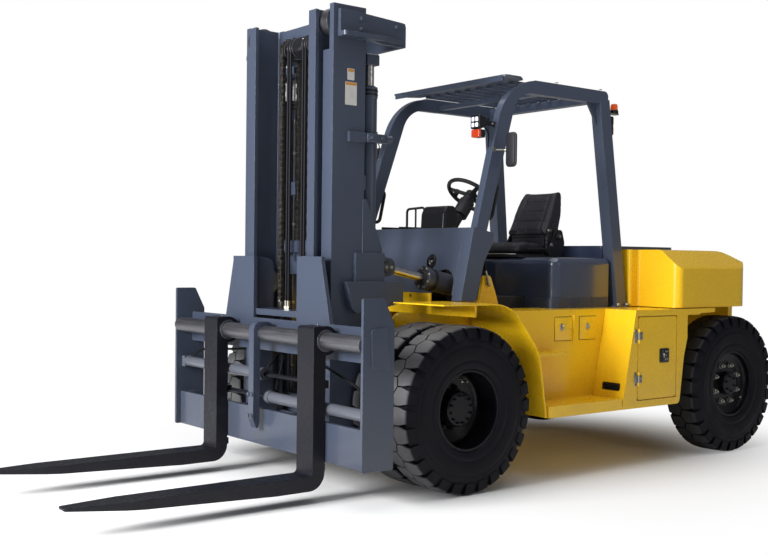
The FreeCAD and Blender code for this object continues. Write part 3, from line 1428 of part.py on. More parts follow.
def positioner_barrels():
    """Two fork positioner cylinders across the carriage, one for each fork."""
    shapes = []
    inner = carriage_half - end_plate - 2 - seat_gap
    for sign, z in ((-1, positioner_high_z), (1, positioner_low_z)):
        closed = sign * (inner)
        open_end = sign * 20
        lug = box(min(closed, closed - sign * 40), max(closed, closed - sign * 40), positioner_y - 34,
                  positioner_y + 34, z - 38, z + 38)
        barrel = rod(V(closed - sign * 30, positioner_y, z), V(open_end, positioner_y, z),
                     positioner_barrel_radius)
        cap = rod(V(open_end + sign * 46, positioner_y, z), V(open_end, positioner_y, z),
                  positioner_barrel_radius + 6)
        body = fused([lug, barrel, cap])
        bore = rod(V(closed - sign * 60, positioner_y, z), V(open_end + sign * 40, positioner_y, z),
                   positioner_barrel_radius - 8)
        mouth = rod(V(closed - sign * 60, positioner_y, z), V(open_end - sign * 1, positioner_y, z),
                    positioner_rod_radius + seat_gap)
        shapes.append(body.cut(bore).cut(mouth))
    return Part.makeCompound(shapes)


def positioner_rod(fork_x, sign, z):
    """Rod from its fork's lug into the barrel on the other side of the carriage."""
    half = fork_width / 2
    end = sign * -1 * (positioner_stroke_reach)
    lug = box(fork_x - 22, fork_x + 22, shaft_y - fork_eye_radius + fork_thickness + seat_gap,
              positioner_y + 24, z - 24, z + 24)
    bar = rod(V(fork_x, positioner_y, z), V(end, positioner_y, z), positioner_rod_radius)
    return fused([lug, bar])


# ---- the whole truck ------------------------------------------------------------------------
def pivot_brackets():
    """Ears on the drive axle that carry the mast's pivot pins."""
    shapes = []
    for inner in (lug_inner_x - running_gap - 30, lug_inner_x + 40 + running_gap):
        thick = 30 if inner < lug_inner_x else 22
        ear = slab_x([
            (mast_pivot_y - 58, mast_pivot_z - 58, 56), (mast_pivot_y + 80, mast_pivot_z - 58, 60),
            (20, tyre_radius - 110, 20),
            (20, tyre_radius + 100, 20), (-110, tyre_radius + 100, 40),
            (mast_pivot_y - 58, mast_pivot_z + 58, 56),
        ], inner, inner + thick)
        shapes.append(ear)
    pin = rod(V(lug_inner_x - 36, mast_pivot_y, mast_pivot_z),
              V(lug_inner_x + 68, mast_pivot_y, mast_pivot_z), pivot_pin_radius)
    return fused(shapes + [pin])


def place(shape):
    """Put the middle of the truck's length over the origin."""
    shape.translate(V(0, -origin_y, 0))
    return shape


def pieces():
    """Every node of the truck by name."""
    out = {}
    axle = drive_axle()
    ears = pivot_brackets()
    out["drive_axle"] = fused([axle, ears, mirrored(ears)])
    out["steer_axle"] = steer_axle()
    out["chassis_frame"] = chassis_frame()
    out["counterweight"] = counterweight()
    out["drawbar_pin"] = drawbar_pin()
    out["battery_pack"] = battery_pack()
    out["controller_cabinet"] = controller_cabinet()
    out["floor_plate"] = floor_plate()
    out["front_cowl"] = front_cowl()
    out["overhead_guard"] = overhead_guard()
    out["guard_roof"] = guard_roof()
    out["instrument_pod"] = instrument_pod()
    out["steering_column"] = steering_column()
    out["steering_wheel"] = steering_wheel()
    out["controls"] = Part.makeCompound([pedals(), lever_console()])
    guard = out["overhead_guard"]
    out["hand_rails"] = Part.makeCompound([grab_handles().cut(guard), dash_rail().cut(out["front_cowl"])])
    lamps = Part.makeCompound([lamp_solids("head"), lamp_solids("signal"), rear_lamps()])
    out["lamps"] = lamps.cut(guard)
    out["beacon"] = beacon().cut(guard)
    out["mirrors"] = mirrors().cut(guard)
    out["hood"] = hood()
    out["seat_base"] = Part.makeCompound([seat_plinth(), seat_base()])
    out["seat_cushion"] = seat_cushion()
    out["seat_backrest"] = seat_backrest()
    out["outer_mast"] = outer_mast()
    out["lift_barrels"] = lift_barrels()
    out["mast_rollers"] = mast_rollers()
    out["inner_mast"] = inner_mast()
    out["lift_rods"] = lift_rods()
    out["chain_wheels"] = Part.makeCompound([chain_pulleys(), hose_wheels()])
    out["chains_front"] = chain_runs(True)
    out["chains_rear"] = chain_runs(False)
    out["hoses_front"] = hose_runs(True)
    out["hoses_rear"] = hose_runs(False)
    out["carriage_frame"] = carriage_frame()
    out["carriage_rollers"] = carriage_rollers()
    out["fork_shaft"] = fork_shaft()
    out["shaft_hanger"] = shaft_hanger()
    out["positioner_barrels"] = positioner_barrels()
    out["fork_left"] = fused([fork(fork_left_x), positioner_rod(fork_left_x, 1, positioner_high_z)])
    out["fork_right"] = fused([fork(fork_right_x), positioner_rod(fork_right_x, -1, positioner_low_z)])
    for name, make in (("side_tanks", side_tank), ("rear_side_covers", rear_side_cover),
                       ("front_fenders", front_fender)):
        out[name] = pair(make())
    for name, make in (
        ("side_door", side_door), ("tilt_barrel", tilt_barrel), ("tilt_rod", tilt_rod),
        ("drive_wheel", front_rims), ("knuckle", knuckle), ("steer_wheel", rear_rim),
    ):
        left = make()
        out[name + "_left"] = left
        out[name + "_right"] = mirrored(left)
    inner_x = front_outer_tyre_x - dual_spacing
    left = Part.makeCompound([tyre(front_outer_tyre_x, 0), tyre(inner_x, 0)])
    out["drive_tyres_left"] = left
    out["drive_tyres_right"] = mirrored(left)
    left = tyre(rear_tyre_x, wheelbase)
    out["steer_tyre_left"] = left
    out["steer_tyre_right"] = mirrored(left)
    return out


def main():
    """Write one file for each node."""
    os.makedirs("parts", exist_ok=True)
    for name, shape in pieces().items():
        place(shape).exportStep("parts/" + name + ".step")


if __name__ == "__main__":
    main()
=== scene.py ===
import math

import bmesh
import bpy
from mathutils import Matrix, Vector


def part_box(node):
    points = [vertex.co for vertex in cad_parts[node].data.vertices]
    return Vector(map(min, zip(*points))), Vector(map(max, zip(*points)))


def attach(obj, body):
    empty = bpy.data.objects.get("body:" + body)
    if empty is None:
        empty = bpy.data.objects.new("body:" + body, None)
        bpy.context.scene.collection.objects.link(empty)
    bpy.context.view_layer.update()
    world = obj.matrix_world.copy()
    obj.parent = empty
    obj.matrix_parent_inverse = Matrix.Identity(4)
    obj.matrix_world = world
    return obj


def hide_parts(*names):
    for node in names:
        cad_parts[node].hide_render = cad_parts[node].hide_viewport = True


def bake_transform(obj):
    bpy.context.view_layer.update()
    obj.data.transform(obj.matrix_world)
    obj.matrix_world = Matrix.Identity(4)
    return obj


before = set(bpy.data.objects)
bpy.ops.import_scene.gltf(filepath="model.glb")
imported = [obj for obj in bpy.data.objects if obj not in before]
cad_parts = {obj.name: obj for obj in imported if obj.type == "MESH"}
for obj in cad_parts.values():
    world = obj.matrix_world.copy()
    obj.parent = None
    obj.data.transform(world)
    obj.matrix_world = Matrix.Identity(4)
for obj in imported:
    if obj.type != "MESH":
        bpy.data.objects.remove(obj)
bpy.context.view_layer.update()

bl_info = {
    "name": "Electric forklift finish",
    "version": (1, 0, 0),
    "blender": (4, 5, 0),
    "location": "3D View > Sidebar > Forklift",
    "description": "Tyres, chains, hoses, seat, lamps, fittings and finishes of a large electric forklift",
    "category": "Add Mesh",
}

# ---- sizes and colours that a user would change ----------------------------------------------


def tint(code):
    """Linear colour of a six-digit display colour."""
    parts = [int(code[i:i + 2], 16) / 255 for i in (0, 2, 4)]
    return tuple(c / 12.92 if c <= 0.04045 else ((c + 0.055) / 1.055) ** 2.4 for c in parts)


def middle(node):
    """Centre of a CAD node's box."""
    low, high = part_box(node)
    return (low + high) / 2


def length_of(label, default, low, high, about):
    return bpy.props.FloatProperty(name=label, default=default, min=low, max=high, unit="LENGTH", description=about)


def colour_of(label, code, about):
    return bpy.props.FloatVectorProperty(
        name=label, subtype="COLOR", size=3, min=0.0, max=1.0, default=tint(code), description=about)


class ForkliftSizes(bpy.types.PropertyGroup):
    """Sizes of the pieces that are made here."""

    lug_count: bpy.props.IntProperty(name="Tread blocks", default=28, min=16, max=48,
                                     description="Blocks on each side of one tyre")
    groove: length_of("Groove depth", 0.024, 0.01, 0.04, "Depth of the tread between its blocks")
    chain_pitch: length_of("Chain pitch", 0.038, 0.02, 0.06, "Distance between the pins of the lift chains")
    chain_plate: length_of("Chain plate", 0.027, 0.015, 0.04, "Depth of a chain plate")
    nut_size: length_of("Wheel nut", 0.034, 0.02, 0.05, "Width of a wheel nut across its flats")
    bolt_head: length_of("Bolt head", 0.022, 0.01, 0.04, "Width of a frame bolt's head")
    seat_swell: length_of("Seat swell", 0.012, 0.004, 0.03, "How far the seat pads may puff out")
    voxel: length_of("Seat mesh", 0.008, 0.005, 0.02, "Mesh size of the seat pads before they are smoothed")


class ForkliftColours(bpy.types.PropertyGroup):
    """Colours of the finishes."""

    body: colour_of("Body enamel", "f7c61c", "Fenders, side covers, doors and counterweight")
    mast: colour_of("Mast enamel", "3d4556", "Mast, carriage, guard and cowl")
    hood: colour_of("Hood enamel", "384158", "Hood and controller cabinet")
    axle: colour_of("Axle paint", "0b0b12", "Rims, axles and knuckles")
    fork: colour_of("Fork paint", "12121a", "Forks and towing pin")
    rubber: colour_of("Rubber", "0d0d14", "Tyres")
    dust: colour_of("Tread dust", "8b8b8c", "Dust on the tread")
    vinyl: colour_of("Seat vinyl", "1b1a22", "Seat covers")
    plastic: colour_of("Moulded plastic", "1a1a21", "Dash, levers and mirrors")
    amber: colour_of("Amber lens", "e8590c", "Beacon and signal lenses")


def sizes():
    return bpy.context.scene.forklift_sizes


def colours():
    return bpy.context.scene.forklift_colours


# ---- finishes ----------------------------------------------------------------------------------


class Value:
    """A node socket whose arithmetic adds Math nodes."""

    def __init__(self, tree, socket):
        self.tree = tree
        self.socket = socket

    def math(self, operation, *others):
        return self.tree.node("ShaderNodeMath", {"operation": operation}, self, *others)

    def __add__(self, other):
        return self.math("ADD", other)

    __radd__ = __add__

    def __sub__(self, other):
        return self.math("SUBTRACT", other)

    def __rsub__(self, other):
        return self.tree.node("ShaderNodeMath", {"operation": "SUBTRACT"}, other, self)

    def __mul__(self, other):
        return self.math("MULTIPLY", other)

    __rmul__ = __mul__

    def band(self, low, high, start=0.0, end=1.0):
        """Eases from start to end as the value goes from low to high."""
        return self.tree.node("ShaderNodeMapRange", {"interpolation_type": "SMOOTHSTEP"}, self, low, high, start, end)


class Tree:
    """A node tree of any kind."""

    def node(self, kind, settings, *values, out=0, **named):
        """Adds a node: its settings are set first, then its sockets by place or name."""
        made = self.tree.nodes.new(kind)
        for key, value in settings.items():
            setattr(made, key, value)
        for key, value in [*enumerate(values), *named.items()]:
            if value is None:
                continue
            socket = made.inputs[key if isinstance(key, int) else key.replace("_", " ")]
            if isinstance(value, Value):
                self.tree.links.new(value.socket, socket)
            elif socket.type == "RGBA" and len(value) == 3:
                socket.default_value = (*value, 1.0)
            else:
                socket.default_value = value
        return Value(self, made.outputs[out]) if made.outputs else None


class Finish(Tree):
    """A node material, or the world's nodes, and the patterns that the finishes share."""

    def __init__(self, name, owner=None):
        self.material = owner or bpy.data.materials.new(name)
        self.material.use_nodes = True
        self.tree = self.material.node_tree
        self.tree.nodes.clear()
        self.place = self.node("ShaderNodeTexCoord", {}, out="Object")

    def noise(self, scale, detail=3.0, rough=0.5, at=None):
        return self.node("ShaderNodeTexNoise", {}, at or self.place, Scale=scale, Detail=detail, Roughness=rough)

    def cells(self, scale, feature="F1"):
        return self.node("ShaderNodeTexVoronoi", {"feature": feature}, self.place, Scale=scale)

    def stretched(self, x, y, z):
        """Object coordinates scaled along each axis."""
        return self.node("ShaderNodeMapping", {}, self.place, Scale=(x, y, z))

    def mix(self, factor, first, second):
        return self.node("ShaderNodeMix", {"data_type": "RGBA"}, factor, None, None, None, None, None, first,
                         second, out=2)

    def axis(self, name):
        return self.node("ShaderNodeSeparateXYZ", {}, self.place, out=name)

    def rounded(self, radius):
        """Normal with its edges eased, and how far it leaves the true one."""
        soft = self.node("ShaderNodeBevel", {"samples": 4}, radius)
        true = self.node("ShaderNodeNewGeometry", {}, out="Normal")
        same = self.node("ShaderNodeVectorMath", {"operation": "DOT_PRODUCT"}, soft, true, out="Value")
        return soft, (1 - same).band(0.02, 0.2)

    def rays(self):
        """Whether a ray comes straight from the camera, and whether it has passed through something."""
        return (self.node("ShaderNodeLightPath", {}, out=kind) for kind in ("Is Camera Ray", "Is Transmission Ray"))

    def bump(self, height, strength, distance, normal=None):
        return self.node("ShaderNodeBump", {}, strength, distance, Height=height, Normal=normal)

    def close(self, **sockets):
        """Ends the tree in one Principled shader."""
        shader = self.node("ShaderNodeBsdfPrincipled", {}, **sockets)
        self.node("ShaderNodeOutputMaterial", {}, shader)
        return self.material


def enamel(name, colour, rough=0.32, coat=0.4, chip=(0.5, 0.5, 0.5), chips=0.35, grime=0.35, low=0.25, high=1.0,
           shine=0.4):
    """Sprayed enamel: slight orange peel, edges tinted as partly rubbed paint and partly painted highlight, and a dusty
    lower part.
    """
    f = Finish(name)
    soft, edge = f.rounded(0.004)
    patch = f.noise(2.2, 4.0)
    fine = f.noise(70.0, 2.0)
    # Edge tint: partly rubbed paint, partly a painted highlight along the edges.
    worn = edge * f.noise(28.0, 4.0, 0.6).band(0.5, 0.62) * chips
    dirt = f.axis("Z").band(low, high, grime, 0.0) * f.noise(5.0, 5.0, 0.6).band(0.3, 0.75)
    shade = f.mix(patch.band(0.3, 0.7, 0.0, 0.16), colour, tuple(c * 0.72 for c in colour))
    shade = f.mix(dirt, shade, tint("5b564d"))
    shade = f.mix(worn, shade, chip)
    peel = f.bump(f.noise(90.0, 1.0) + patch * 0.3, 0.03, 0.002, soft)
    return f.close(Base_Color=shade, Roughness=fine.band(0.3, 0.8, rough - 0.04, rough + 0.07) + dirt * 0.5,
                   Normal=peel, Coat_Weight=coat, Coat_Roughness=0.12, Specular_IOR_Level=shine)


def bare_steel(name, colour, rough=0.3, grain=(1.0, 90.0, 90.0), brown=0.3):
    """Machined or rubbed steel with drawn grain and brown staining."""
    f = Finish(name)
    soft = f.rounded(0.002)[0]
    drawn = f.noise(3.0, 4.0, 0.6, f.stretched(*grain))
    stain = f.noise(9.0, 5.0, 0.65).band(0.48, 0.72, 0.0, brown)
    shade = f.mix(drawn.band(0.3, 0.7), tuple(c * 0.75 for c in colour), colour)
    shade = f.mix(stain, shade, tint("4c4640"))
    return f.close(Base_Color=shade, Metallic=1.0 - stain * 0.6, Roughness=drawn.band(0.3, 0.7, rough, rough + 0.15),
                   Normal=f.bump(drawn, 0.1, 0.001, soft))


def chrome(name, eye=None):
    """Hard-chromed rod with faint rings of oil, and a painted end ahead of a plane across it."""
    f = Finish(name)
    film = f.noise(6.0, 3.0, 0.5, f.stretched(1.0, 14.0, 14.0))
    shade = f.mix(film.band(0.4, 0.7), (0.62, 0.62, 0.64), (0.5, 0.42, 0.32))
    metal, rough = 1.0, film.band(0.3, 0.7, 0.09, 0.22)
    if eye is not None:
        paint = f.axis("Y").band(eye + 0.001, eye - 0.001)
        skin = f.noise(30.0, 4.0, 0.6)
        shade = f.mix(paint, shade, f.mix(skin.band(0.4, 0.7), tint("2a2c34"), tint("3c3e46")))
        metal, rough = 1 - paint, rough + paint * 0.3
    return f.close(Base_Color=shade, Metallic=metal, Roughness=rough, Normal=f.bump(film, 0.02, 0.001))


def forged(name, colour):
    """Painted forging: coarse skin, with bright rubs on its edges."""
    f = Finish(name)
    soft, edge = f.rounded(0.006)
    skin = f.noise(34.0, 6.0, 0.65)
    rub = edge * f.noise(18.0, 4.0, 0.7).band(0.5, 0.66, 0.0, 0.4)
    scuff = f.noise(4.0, 6.0, 0.7, f.stretched(1.0, 0.3, 1.0)).band(0.56, 0.74, 0.0, 0.3)
    shade = f.mix(scuff, colour, tint("2e2e38"))
    shade = f.mix(rub, shade, tint("77777c"))
    return f.close(Base_Color=shade, Metallic=rub, Roughness=skin.band(0.3, 0.7, 0.36, 0.56) - rub * 0.2,
                   Normal=f.bump(skin, 0.16, 0.002, soft), Coat_Weight=0.08, Coat_Roughness=0.3,
                   Specular_IOR_Level=0.25)


def rubber(name, colour, dust, centre=None, reach=0.527, amount=0.75):
    """Tyre rubber: dusty tread, darker walls with fine mould rings."""
    f = Finish(name)
    grain = f.noise(160.0, 3.0, 0.6)
    cloud = f.noise(7.0, 5.0, 0.6)
    shade = f.mix(cloud.band(0.35, 0.75, 0.0, 0.5), colour, tuple(c * 1.5 + 0.002 for c in colour))
    height = grain
    rough = cloud.band(0.3, 0.7, 0.42, 0.6)
    if centre:
        flat = f.node("ShaderNodeVectorMath", {"operation": "SUBTRACT"}, f.place, (0.0, centre[0], centre[1]))
        flat = f.node("ShaderNodeVectorMath", {"operation": "MULTIPLY"}, flat, (0.0, 1.0, 1.0))
        radius = f.node("ShaderNodeVectorMath", {"operation": "LENGTH"}, flat, out="Value")
        tread = radius.band(reach - 0.016, reach - 0.004) * cloud.band(0.2, 0.7, amount, amount * 0.75)
        wall = radius.band(reach - 0.2, reach - 0.05) * cloud.band(0.45, 0.8, 0.0, amount * 0.07)
        shade = f.mix(tread + wall, shade, dust)
        rings = (radius * 900.0).math("SINE") * radius.band(0.3, 0.34) * radius.band(0.47, 0.44)
        height = grain + rings * 0.25
        rough = rough + tread * 0.3
    return f.close(Base_Color=shade, Roughness=rough, Normal=f.bump(height, 0.2, 0.0015), Specular_IOR_Level=0.14)


def moulded(name, colour, rough=0.42, grain=420.0):
    """Moulded plastic with a fine leather-like texture, and edges lightened as partly rubbed plastic and partly painted
    highlight.
    """
    f = Finish(name)
    soft, edge = f.rounded(0.003)
    pits = f.cells(grain, "SMOOTH_F1")
    # Edges lightened towards grey: partly rubbed plastic, partly a painted highlight.
    rub = edge * f.noise(20.0, 3.0).band(0.45, 0.7, 0.0, 0.3)
    shade = f.mix(f.noise(5.0, 3.0).band(0.3, 0.7, 0.0, 0.4), colour, tuple(c * 1.5 + 0.003 for c in colour))
    shade = f.mix(rub, shade, tint("5a5a60"))
    return f.close(Base_Color=shade, Roughness=pits.band(0.0, 0.7, rough, rough + 0.14),
                   Normal=f.bump(pits, 0.12, 0.001, soft))


def vinyl(name, colour):
    """Seat vinyl: pebbled grain, soft creases and a worn sheen."""
    f = Finish(name)
    pebble = f.cells(300.0, "DISTANCE_TO_EDGE")
    crease = f.noise(16.0, 5.0, 0.7, f.stretched(1.0, 1.0, 2.2))
    shade = f.mix(crease.band(0.35, 0.75, 0.0, 0.6), colour, tuple(c * 2.2 + 0.004 for c in colour))
    grain = f.bump(pebble.band(0.0, 0.12) + crease * 0.8, 0.35, 0.0012)
    return f.close(Base_Color=shade, Roughness=crease.band(0.3, 0.7, 0.34, 0.5), Normal=grain, Coat_Weight=0.08,
                   Coat_Roughness=0.35)


def lens(name, colour, glow=0.25, ribs=420.0):
    """Coloured lamp lens with moulded flutes behind a clear face."""
    f = Finish(name)
    flute = (f.axis("X") * ribs).math("SINE") * (f.axis("Z") * ribs).math("SINE")
    shade = f.mix(flute.band(-0.6, 0.8), tuple(c * 0.55 for c in colour), colour)
    return f.close(Base_Color=shade, Roughness=0.12, Normal=f.bump(flute, 0.3, 0.001), Coat_Weight=1.0,
                   Coat_Roughness=0.04, Emission_Color=shade, Emission_Strength=glow)


def bright_lamp(name):
    """Lit diode behind its lens: pale heart, cooler rim."""
    f = Finish(name)
    spark = f.cells(160.0)
    shade = f.mix(spark.band(0.0, 0.6), (1.0, 1.0, 1.0), (0.62, 0.68, 0.8))
    return f.close(Base_Color=shade, Roughness=0.1, Emission_Color=shade, Emission_Strength=0.7, Coat_Weight=1.0)


def plate_finish(name, colour):
    """Printed plate without any wording: a plain field with soft handling marks."""
    f = Finish(name)
    smudge = f.noise(30.0, 4.0, 0.6)
    shade = f.mix(smudge.band(0.45, 0.75, 0.0, 0.3), colour, tuple(c * 0.7 for c in colour))
    return f.close(Base_Color=shade, Roughness=smudge.band(0.3, 0.7, 0.3, 0.5), Normal=f.bump(smudge, 0.03, 0.001))


def floor_mat(name, colour, enamelled):
    """Rubber floor covering with raised round studs, and enamel on the deck beside it."""
    f = Finish(name)
    stud = f.cells(34.0)
    grime = f.noise(6.0, 4.0)
    side = f.axis("X").math("ABSOLUTE").band(0.352, 0.354)
    shade = f.mix(grime.band(0.4, 0.7, 0.0, 0.5), colour, tint("4c4a46"))
    shade = f.mix(side, shade, enamelled)
    return f.close(Base_Color=shade, Roughness=grime.band(0.3, 0.7, 0.5, 0.75) - side * 0.3,
                   Normal=f.bump(stud.band(0.25, 0.35, 1.0, 0.0) * (1 - side), 0.4, 0.002))


made_finishes = {}


def recipes():
    """Maker, name and values of each finish; a six-digit value is a display colour."""
    c = {key: tuple(getattr(colours(), key)) for key in ForkliftColours.__annotations__}
    # The guard's enamel is the mast enamel lightened by 1.35: a lighter copy that paints in the brighter light on the
    # guard.
    guard = tuple(v * 1.35 for v in c["mast"])
    front, rear = middle("drive_tyres_left"), middle("steer_tyre_left")
    tyre_reach = 0.527
    eye_paint_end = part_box("tilt_rod_left")[0].y + 0.115
    return {
        # For the enamels, the colour after the coat is the edge tint: partly rubbed paint, partly painted highlight.
        "body": (enamel, "Body enamel", c["body"], 0.27, 0.5, "c9a45a", 0.5, 0.14, 0.35, 0.9),
        "mast": (enamel, "Mast enamel", c["mast"], 0.36, 0.3, "9aa3b0", 0.6, 0.2, 0.2, 1.2),
        "guard": (enamel, "Guard enamel", guard, 0.32, 0.4, "9aa3b0", 0.6, 0.1, 0.6, 1.4, 0.5),
        "hood": (enamel, "Hood enamel", c["hood"], 0.2, 1.0, "78829a", 0.5, 0.08, 1.0, 1.3, 0.7),
        "axle": (enamel, "Axle paint", c["axle"], 0.34, 0.15, "4a4a52", 0.5, 0.3, 0.2, 0.9, 0.3),
        "rim": (enamel, "Rim paint", c["axle"], 0.3, 0.08, "3a3a42", 0.5, 0.08, 0.2, 1.1, 0.2),
        "battery": (enamel, "Battery case paint", "33363e", 0.45, 0.1, "70747c", 0.4, 0.3, 0.4, 1.2),
        "barrel": (enamel, "Cylinder enamel", "3a3d47", 0.34, 0.3, "8b9096", 0.5, 0.2, 0.2, 1.0),
        "positioner": (enamel, "Positioner enamel", "585c66", 0.34, 0.3, "a9acb0", 0.5, 0.25, 0.2, 0.9),
        "fork": (forged, "Fork paint", c["fork"]),
        "shaft": (bare_steel, "Shaft steel", "7c7c82", 0.36, (0.6, 60.0, 60.0), 0.3),
        "roller": (bare_steel, "Roller steel", "8a8a8e", 0.28, (60.0, 2.0, 2.0), 0.3),
        "chain": (bare_steel, "Oiled chain steel", "55524e", 0.36, (30.0, 30.0, 6.0), 0.6),
        "pipe": (bare_steel, "Pipe steel", "9a9c9e", 0.24, (40.0, 40.0, 3.0), 0.2),
        "zinc": (bare_steel, "Plated fastener steel", "b4b2a8", 0.26, (60.0, 60.0, 60.0), 0.25),
        "mirror": (bare_steel, "Mirror glass", "c8ccd2", 0.03, (1.0, 1.0, 1.0), 0.0),
        "chrome": (chrome, "Rod chrome"),
        "tilt_rod": (chrome, "Tilt rod chrome", eye_paint_end),
        "front_tyre": (rubber, "Front tyre rubber", c["rubber"], c["dust"], (front.y, front.z), tyre_reach, 0.42),
        "rear_tyre": (rubber, "Rear tyre rubber", c["rubber"], c["dust"], (rear.y, rear.z), tyre_reach, 0.12),
        "hose": (rubber, "Hose rubber", "131318", "55534f"),
        "plastic": (moulded, "Moulded plastic", c["plastic"]),
        "gloss": (moulded, "Glossy housing plastic", "101015", 0.18, 900.0),
        "grip": (moulded, "Rubber grip", "0f0f13", 0.55, 260.0),
        "screen": (moulded, "Display glass", "0a0c10", 0.08, 900.0),
        # Near-black finish on the sheets round the lids and behind the vent slats: painted shade in gaps and recesses.
        "seam": (moulded, "Shadow joint", "0c0b0e", 0.6, 200.0),
        "vinyl": (vinyl, "Seat vinyl", c["vinyl"]),
        "amber": (lens, "Amber lens", c["amber"], 0.35),
        "signal": (lens, "Signal lens", "d8451a", 0.22),
        "red": (lens, "Red lens", "b5160c", 0.2),
        "diode": (bright_lamp, "Lit diode"),
        "label": (plate_finish, "Blank label", "c9c6c2"),
        "label_band": (plate_finish, "Label band", "c98a34"),
        "mat": (floor_mat, "Floor mat", "1f2026", c["hood"]),
    }


def finish(name):
    """The named finish, made once."""
    if name not in made_finishes:
        build, label, *values = recipes()[name]
        made_finishes[name] = build(label, *(tint(v) if isinstance(v, str) else v for v in values))
    return made_finishes[name]


# ---- mesh tools --------------------------------------------------------------------------------


def settle(piece):
    """A plain mesh of an object with its modifiers done."""
    graph = bpy.context.evaluated_depsgraph_get()
    graph.update()
    return bpy.data.meshes.new_from_object(piece.evaluated_get(graph), depsgraph=graph)


def temporary(data):
    """An object that is removed once its shape has been used."""
    made = bpy.data.objects.new("temporary", data)
    bpy.context.scene.collection.objects.link(made)
    return made


def discard(piece):
    data = piece.data
    kind = piece.type
    bpy.data.objects.remove(piece)
    if kind == "MESH":
        bpy.data.meshes.remove(data)
    else:
        bpy.data.curves.remove(data)


def put(name, mesh, body, material, smooth=35.0, replaces=()):
    """Makes a piece of a mesh and lets it ride on a body, or on none if a run between two bodies is laid."""
    mesh.materials.clear()
    mesh.materials.append(finish(material))
    for face in mesh.polygons:
        face.use_smooth = True
        face.material_index = 0
    mesh.set_sharp_from_angle(angle=math.radians(smooth))
    piece = bpy.data.objects.new(name, mesh)
    bpy.context.scene.collection.objects.link(piece)
    if body:
        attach(piece, body)
    if replaces:
        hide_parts(*replaces)
    return piece


def curved(points, steps=5):
    """Outline with rounded corners: each point is (a, b) or (a, b, radius)."""
    out = []
    for i, here in enumerate(points):
        corner = Vector(here[:2])
        radius = here[2] if len(here) > 2 else 0.0
        if not radius:
            out.append(tuple(corner))
            continue
        before = (Vector(points[i - 1][:2]) - corner).normalized()
        after = (Vector(points[(i + 1) % len(points)][:2]) - corner).normalized()
        half = before.angle(after) / 2
        reach = radius / math.tan(half)
        centre = corner + (before + after).normalized() * radius / math.sin(half)
        start, end = corner + before * reach - centre, corner + after * reach - centre
        first = math.atan2(start.y, start.x)
        sweep = (math.atan2(end.y, end.x) - first + math.pi) % math.tau - math.pi
        for k in range(steps + 1):
            turn = first + sweep * k / steps
            out.append((centre.x + radius * math.cos(turn), centre.y + radius * math.sin(turn)))
    return out


def plate(a0, a1, b0, b1, radius):
    """Rounded rectangle between two limits each way."""
    return curved([(a0, b0, radius), (a1, b0, radius), (a1, b1, radius), (a0, b1, radius)])


def unit(value):
    """A value held between 0 and 1."""
    return min(1.0, max(0.0, value))


def span(sign, near, far):
    """Two places on one side of the truck, the smaller first."""
    return sorted((sign * near, sign * far))


